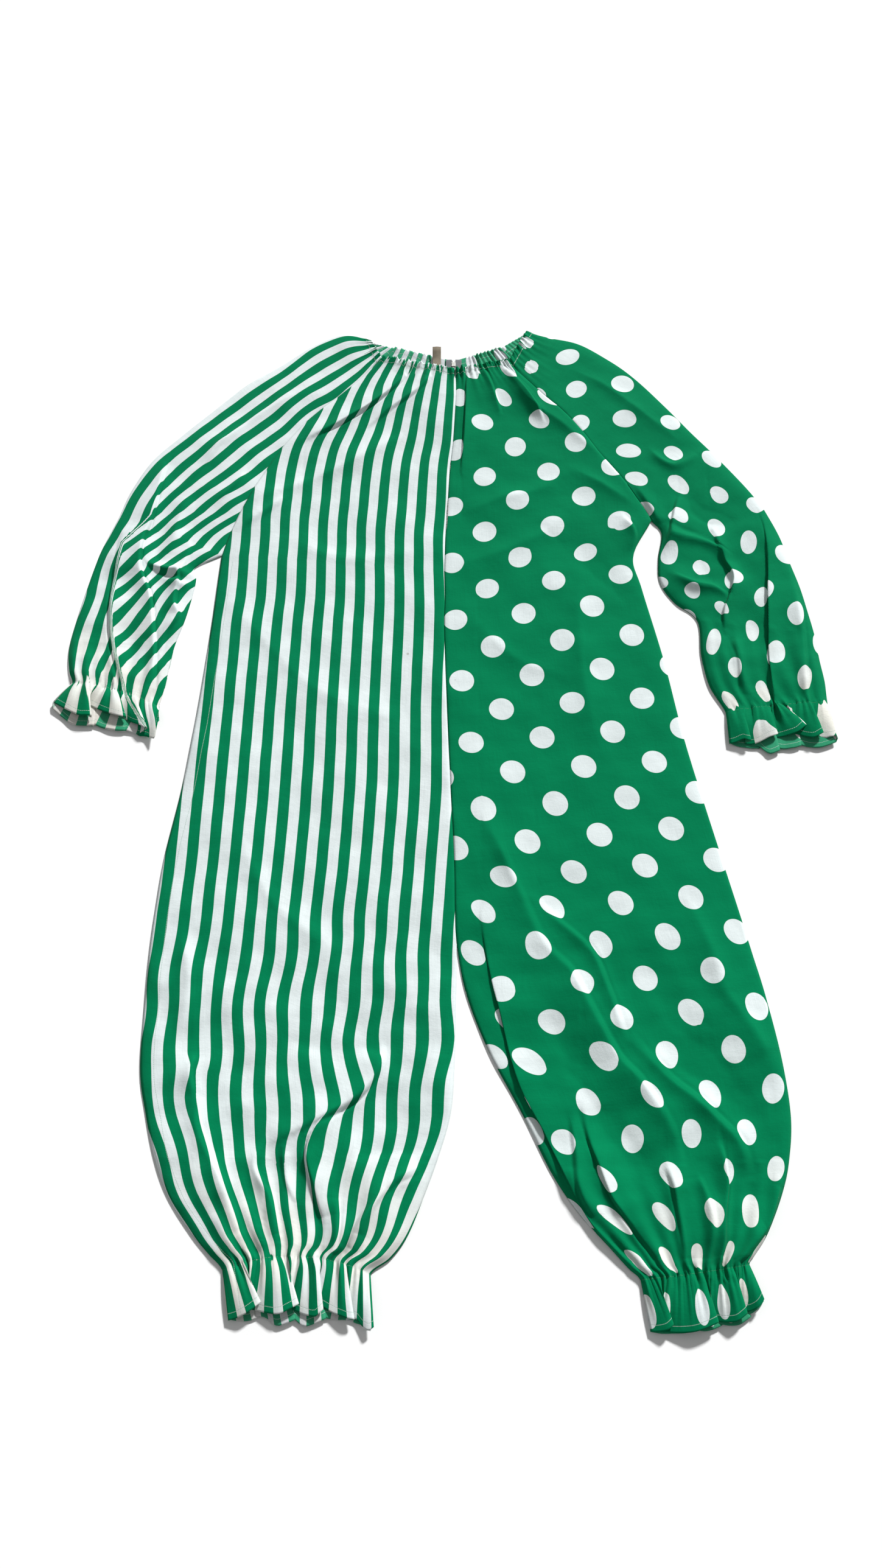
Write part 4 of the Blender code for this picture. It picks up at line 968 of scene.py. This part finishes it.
class Value:
    """The output of a material's node, with which sums and products can be written."""

    def __init__(self, socket):
        self.socket = socket

    def math(self, operation, *others):
        return add_node(self.socket.id_data, "Math", enumerate((self, *others)), operation=operation)

    def __add__(self, other):
        return self.math("ADD", other)

    def __sub__(self, other):
        return self.math("SUBTRACT", other)

    def __mul__(self, other):
        return self.math("MULTIPLY", other)

    def __truediv__(self, other):
        return self.math("DIVIDE", other)

    def ramp(self, low, high, to_low=0.0, to_high=1.0):
        """A smooth step between two values."""
        return add_node(self.socket.id_data, "MapRange", enumerate((self, low, high, to_low, to_high)),
                        interpolation_type="SMOOTHSTEP")

    def from_whole(self):
        """Distance from the nearest whole number, with its sign."""
        return (self + 0.5).math("FRACT") - 0.5


class Graph:
    """A new material, with short names for its nodes."""

    def __init__(self, name):
        self.material = bpy.data.materials.new(name)
        self.material.use_nodes = True
        self.tree = self.material.node_tree
        self.place = add_node(self.tree, "TexCoord", {}, "Object")

    def surface(self, **inputs):
        """Sets inputs of the material's shader, such as Base_Color."""
        for name, value in inputs.items():
            put(self.tree.nodes["Principled BSDF"].inputs[name.replace("_", " ")], value)

    def map(self, name):
        """The two values of a UV layer, in millimetres."""
        place = add_node(self.tree, "UVMap", {}, uv_map=name)
        scaled = add_node(self.tree, "VectorMath", {0: place, "Scale": 1 / MM}, operation="SCALE")
        split = self.tree.nodes.new("ShaderNodeSeparateXYZ")
        put(split.inputs[0], scaled)
        return Value(split.outputs[0]), Value(split.outputs[1])

    def vector(self, x, y, z=0.0):
        return add_node(self.tree, "CombineXYZ", enumerate((x, y, z)))

    def noise(self, vector, scale, detail=2.0, roughness=0.5):
        inputs = {"Vector": vector, "Scale": scale, "Detail": detail, "Roughness": roughness}
        return add_node(self.tree, "TexNoise", inputs, "Fac")

    def mix(self, share, a, b, blend="MIX"):
        a, b = ((*colour, 1) if isinstance(colour, tuple) else colour for colour in (a, b))
        return add_node(self.tree, "Mix", {"Factor": share, "A": a, "B": b}, "Result",
                        data_type="RGBA", blend_type=blend)

    def shaded(self, colour, shade):
        """A colour made darker or lighter."""
        return self.mix(1.0, colour, self.vector(shade, shade, shade), "MULTIPLY")

    def bump(self, height, strength, distance):
        inputs = {"Strength": strength, "Distance": distance, "Height": height}
        self.surface(Normal=add_node(self.tree, "Bump", inputs))


def stripe_mask(graph, u, v):
    """1 in a green stripe."""
    wobble = graph.noise(graph.vector(u * 0.02, v * 0.02), 1.0)
    away = ((u + (wobble * 1.2 + (STRIPE_MIDDLE - 0.6))) / STRIPE_PITCH).from_whole().math("ABSOLUTE")
    soft = PRINT_SOFT / STRIPE_PITCH
    return away.ramp(STRIPE_HALF - soft, STRIPE_HALF + soft, 1.0, 0.0)


def dot_mask(graph, u, v):
    """1 on the green ground and 0 in a dot. Each second column of dots is half a period lower."""
    reach = []
    for shift in (0.0, 0.5):
        x = (u / (2 * DOT_COLUMN) + shift).from_whole() * (2 * DOT_COLUMN)
        y = (v / DOT_PERIOD + shift).from_whole() * DOT_PERIOD
        reach.append((x.math("POWER", 2.0) + y.math("POWER", 2.0)).math("SQRT"))
    return reach[0].math("MINIMUM", reach[1]).ramp(DOT_RADIUS - PRINT_SOFT, DOT_RADIUS + PRINT_SOFT)


def dashes(distance, at, run, half_width=0.35, length=2.6, share=0.72):
    """A line of stitches at a distance from an edge."""
    line_there = (distance - at).math("ABSOLUTE").ramp(half_width, half_width + 0.25, 1.0, 0.0)
    beat = (run / length).from_whole().math("ABSOLUTE")
    return line_there * beat.ramp(share / 2 - 0.05, share / 2 + 0.05, 1.0, 0.0)


WEAVE_PITCH = 0.7


def woven_bump(graph, u, v, extra, strength=0.6):
    """A plain weave's cords, uneven threads and a soft crumple, as a bump."""
    cord_u, cord_v = ((way * (2 * math.pi / WEAVE_PITCH)).math("SINE") for way in (u, v))
    graph.bump((cord_u + cord_v) * 0.04 + extra, strength, MM)


def cloth_surface(graph, colour, roughness=0.88, sheen=0.02):
    graph.surface(Base_Color=colour, Roughness=roughness, Specular_IOR_Level=0.03,
                  Sheen_Weight=sheen, Sheen_Roughness=0.5)
    return graph.material


# Small old stains on the front: place, radius and strength.
Stain = namedtuple("Stain", "x y z radius strength")
STAINS = rows(Stain, (-53, 162, 5, 3.2, 0.55), (21, 113, 5, 2.4, 0.5), (-290, -437, 6, 3.0, 0.45))


def stain_mask(graph):
    mask = None
    for stain in STAINS:
        centre = (stain.x * MM, stain.y * MM, stain.z * MM)
        away = add_node(graph.tree, "VectorMath", {0: graph.place, 1: centre}, "Value", operation="DISTANCE")
        spot = away.ramp(stain.radius * 0.4 * MM, stain.radius * MM, stain.strength, 0.0)
        mask = mask.math("MAXIMUM", spot) if mask else spot
    return mask


def printed_cotton(name, pattern, green, white, stitched_side):
    """Thin printed cotton with its weave, uneven threads, ageing, stains and sewing."""
    graph = Graph(name)
    u, v = graph.map("print")
    to_hem, to_neck = graph.map("ends")
    to_side, _ = graph.map("sides")
    to_elastic, along_elastic = graph.map("elastic")

    warp = graph.noise(graph.vector(u * 1.3, v * 0.02), 1.0, 3.0)
    weft = graph.noise(graph.vector(u * 0.02, v * 1.3), 1.0, 3.0)
    threads = warp + weft
    blotch = graph.noise(graph.place, 9.0, 3.0)

    age = to_hem.ramp(20.0, 260.0, 0.6, 0.0) * blotch.ramp(0.3, 0.6)
    colour = graph.mix(pattern(graph, u, v), graph.mix(age, white, AGED_WHITE), green)
    shade = (threads * 0.24 + 0.76) * (blotch * 0.10 + 0.95)
    colour = graph.shaded(colour, shade)
    colour = graph.mix(stain_mask(graph), colour, STAIN)

    thread = dashes(to_hem, HEM, u).math("MAXIMUM", dashes(to_neck, CASING, u, length=4.0))
    if stitched_side:
        below_arm = to_neck.ramp(SIDE_STITCH_FROM, SIDE_STITCH_FROM + 5)
        thread = thread.math("MAXIMUM", below_arm * dashes(to_side, SIDE_STITCH, to_neck))
    loops = dashes(to_elastic, 0.0, along_elastic, 0.2, 4.0, 0.35)
    thread = thread.math("MAXIMUM", loops * 0.3)
    colour = graph.mix(thread * 0.7, colour, THREAD)

    crumple = graph.noise(graph.place, 60.0, 4.0, 0.6)
    woven_bump(graph, u, v, thread * -0.3 + (threads * 0.10 + crumple * 1.1))
    return cloth_surface(graph, colour)


def cotton_pair(name, pattern, stitched_side=False):
    """A printed cotton's face and its paler reverse."""
    return (printed_cotton(name + "_face", pattern, GREEN, WHITE, stitched_side),
            printed_cotton(name + "_reverse", pattern, REVERSE_GREEN, REVERSE_WHITE, stitched_side))


def woven_tape(name, tone, cord):
    """A narrow woven tape: ribs across it, a paler edge along one side and dust. On the neck label the paler
    edge is a painted highlight of its lit rim.
    """
    graph = Graph(name)
    u, v = graph.map("print")
    rib = (v * (2 * math.pi / cord)).math("SINE")
    twill = ((u + v) * (2 * math.pi / (cord * 1.7))).math("SINE")
    dust = graph.noise(graph.place, 90.0, 4.0, 0.65)
    shade = rib * 0.05 + (dust * 0.5 + 0.72)
    colour = graph.shaded(tone, shade)
    # Paler along the edge at u = 0, beside the teeth on the zip tapes. On the neck label this is a painted
    # highlight of its lit rim.
    colour = graph.mix(u.ramp(0.2, 1.4, 0.35, 0.0), colour, tuple(min(1.0, c * 1.7) for c in tone))
    woven_bump(graph, u, v, (rib + twill) * 0.12, 0.8)
    return cloth_surface(graph, colour, 0.75, 0.2)


def worn_metal(name):
    """Plated zip metal: fine brushing and dull patches."""
    graph = Graph(name)
    stretched = add_node(graph.tree, "Mapping", {"Vector": graph.place, "Scale": (9.0, 0.6, 9.0)})
    brush = graph.noise(stretched, 900.0, 4.0, 0.6)
    wear = graph.noise(graph.place, 420.0, 3.0, 0.6)
    graph.surface(Base_Color=graph.mix(wear.ramp(0.4, 0.68), METAL, DULL_METAL), Metallic=1.0,
                  Roughness=wear * 0.12 + (brush * 0.2 + 0.26))
    graph.bump(brush, 0.35, 0.1 * MM)
    return graph.material


# ---- Camera, floor and light.

CAMERA_PLACE = (-0.0011, -1.0595, 1.9442)
CAMERA_DOWN = 62.9      # degrees below level
CAMERA_LENS = 33.54     # on a sensor 36 mm high
SUN_FROM = (0.44, 0.77, 0.54)
SUN_STRENGTH = 5.2
SUN_ANGLE = 7           # degrees across: wide enough for soft edges of the shadows
SKY = 0.31
FLOOR_HALF = 7.0
FLOOR_Z = -0.0004


def build_camera():
    data = bpy.data.cameras.new("camera")
    data.lens = CAMERA_LENS
    data.sensor_width = 36
    data.sensor_fit = "AUTO"
    camera = add_object("camera", data)
    camera.location = CAMERA_PLACE
    camera.rotation_euler = (math.radians(90 - CAMERA_DOWN), 0, 0)
    bpy.context.scene.camera = camera


def build_floor():
    mesh = bpy.data.meshes.new("floor")
    corners = [(x * FLOOR_HALF, y * FLOOR_HALF, 0) for x, y in ((-1, -1), (1, -1), (1, 1), (-1, 1))]
    mesh.from_pydata(corners, [], [(0, 1, 2, 3)])
    floor = add_object("floor", mesh)
    floor.location = (0, 0, FLOOR_Z)
    graph = Graph("pale_floor")
    tone = graph.noise(graph.place, 1.4, 2.0).ramp(0.3, 0.7)
    graph.surface(Base_Color=graph.mix(tone, (0.86, 0.86, 0.86), (0.88, 0.88, 0.88)), Roughness=0.9)
    mesh.materials.append(graph.material)


def build_light():
    data = bpy.data.lights.new("sun", "SUN")
    data.energy = SUN_STRENGTH
    data.angle = math.radians(SUN_ANGLE)
    sun = add_object("sun", data)
    sun.rotation_euler = (-Vector(SUN_FROM)).to_track_quat("-Z", "Y").to_euler()
    world = bpy.data.worlds.new("studio")
    world.use_nodes = True
    sky = world.node_tree.nodes["Background"].inputs
    sky["Color"].default_value = (1.0, 1.0, 1.0, 1)
    sky["Strength"].default_value = SKY
    bpy.context.scene.world = world
    bpy.context.scene.view_settings.view_transform = "Standard"


# ---- The suit.

def dress(piece, node):
    """Puts a piece in the place of one of the model's solids."""
    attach(piece, "suit")
    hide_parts(node)


def build_panels(cottons):
    for layer, build in (("back", build_back), ("front", build_front)):
        for half, cotton in zip((STRIPED, DOTTED), cottons):
            piece = build(half, cotton)
            dress(piece, f"{layer}_{half.name}")


def build_sleeves(cottons):
    for half, cotton in zip((STRIPED, DOTTED), cottons):
        piece = build_sleeve(half, cotton)
        dress(piece, "sleeve_" + half.name)


def build_zip(metal):
    cloth = woven_tape("zip_tape_cloth", TAPE_GREY, 0.9)
    for half in (STRIPED, DOTTED):
        tape = build_tape("woven_tape_" + half.name, half.side, cloth)
        dress(tape, "zip_tape_" + half.name)
        teeth = build_teeth("zip_teeth_" + half.name, half.side, metal)
        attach(teeth, "suit")
    for node in ("zip_slider", "zip_pull"):
        for slot in bpy.data.objects[node].material_slots:
            slot.material = metal


def build_neck_label():
    # The label's colour is its cream in painted shade, with a painted highlight along its lit rim.
    piece = build_label("label_tab", woven_tape("label_cloth", LABEL_CREAM_IN_PAINTED_SHADE, 0.6))
    dress(piece, "neck_label")


def main():
    build_camera()
    build_floor()
    build_light()
    striped = cotton_pair("striped_cotton", stripe_mask, stitched_side=True)
    dotted = cotton_pair("dotted_cotton", dot_mask)
    build_panels((striped, dotted))
    build_sleeves((cotton_pair("striped_sleeve", stripe_mask), dotted))
    build_zip(worn_metal("zip_plating"))
    build_neck_label()


main()
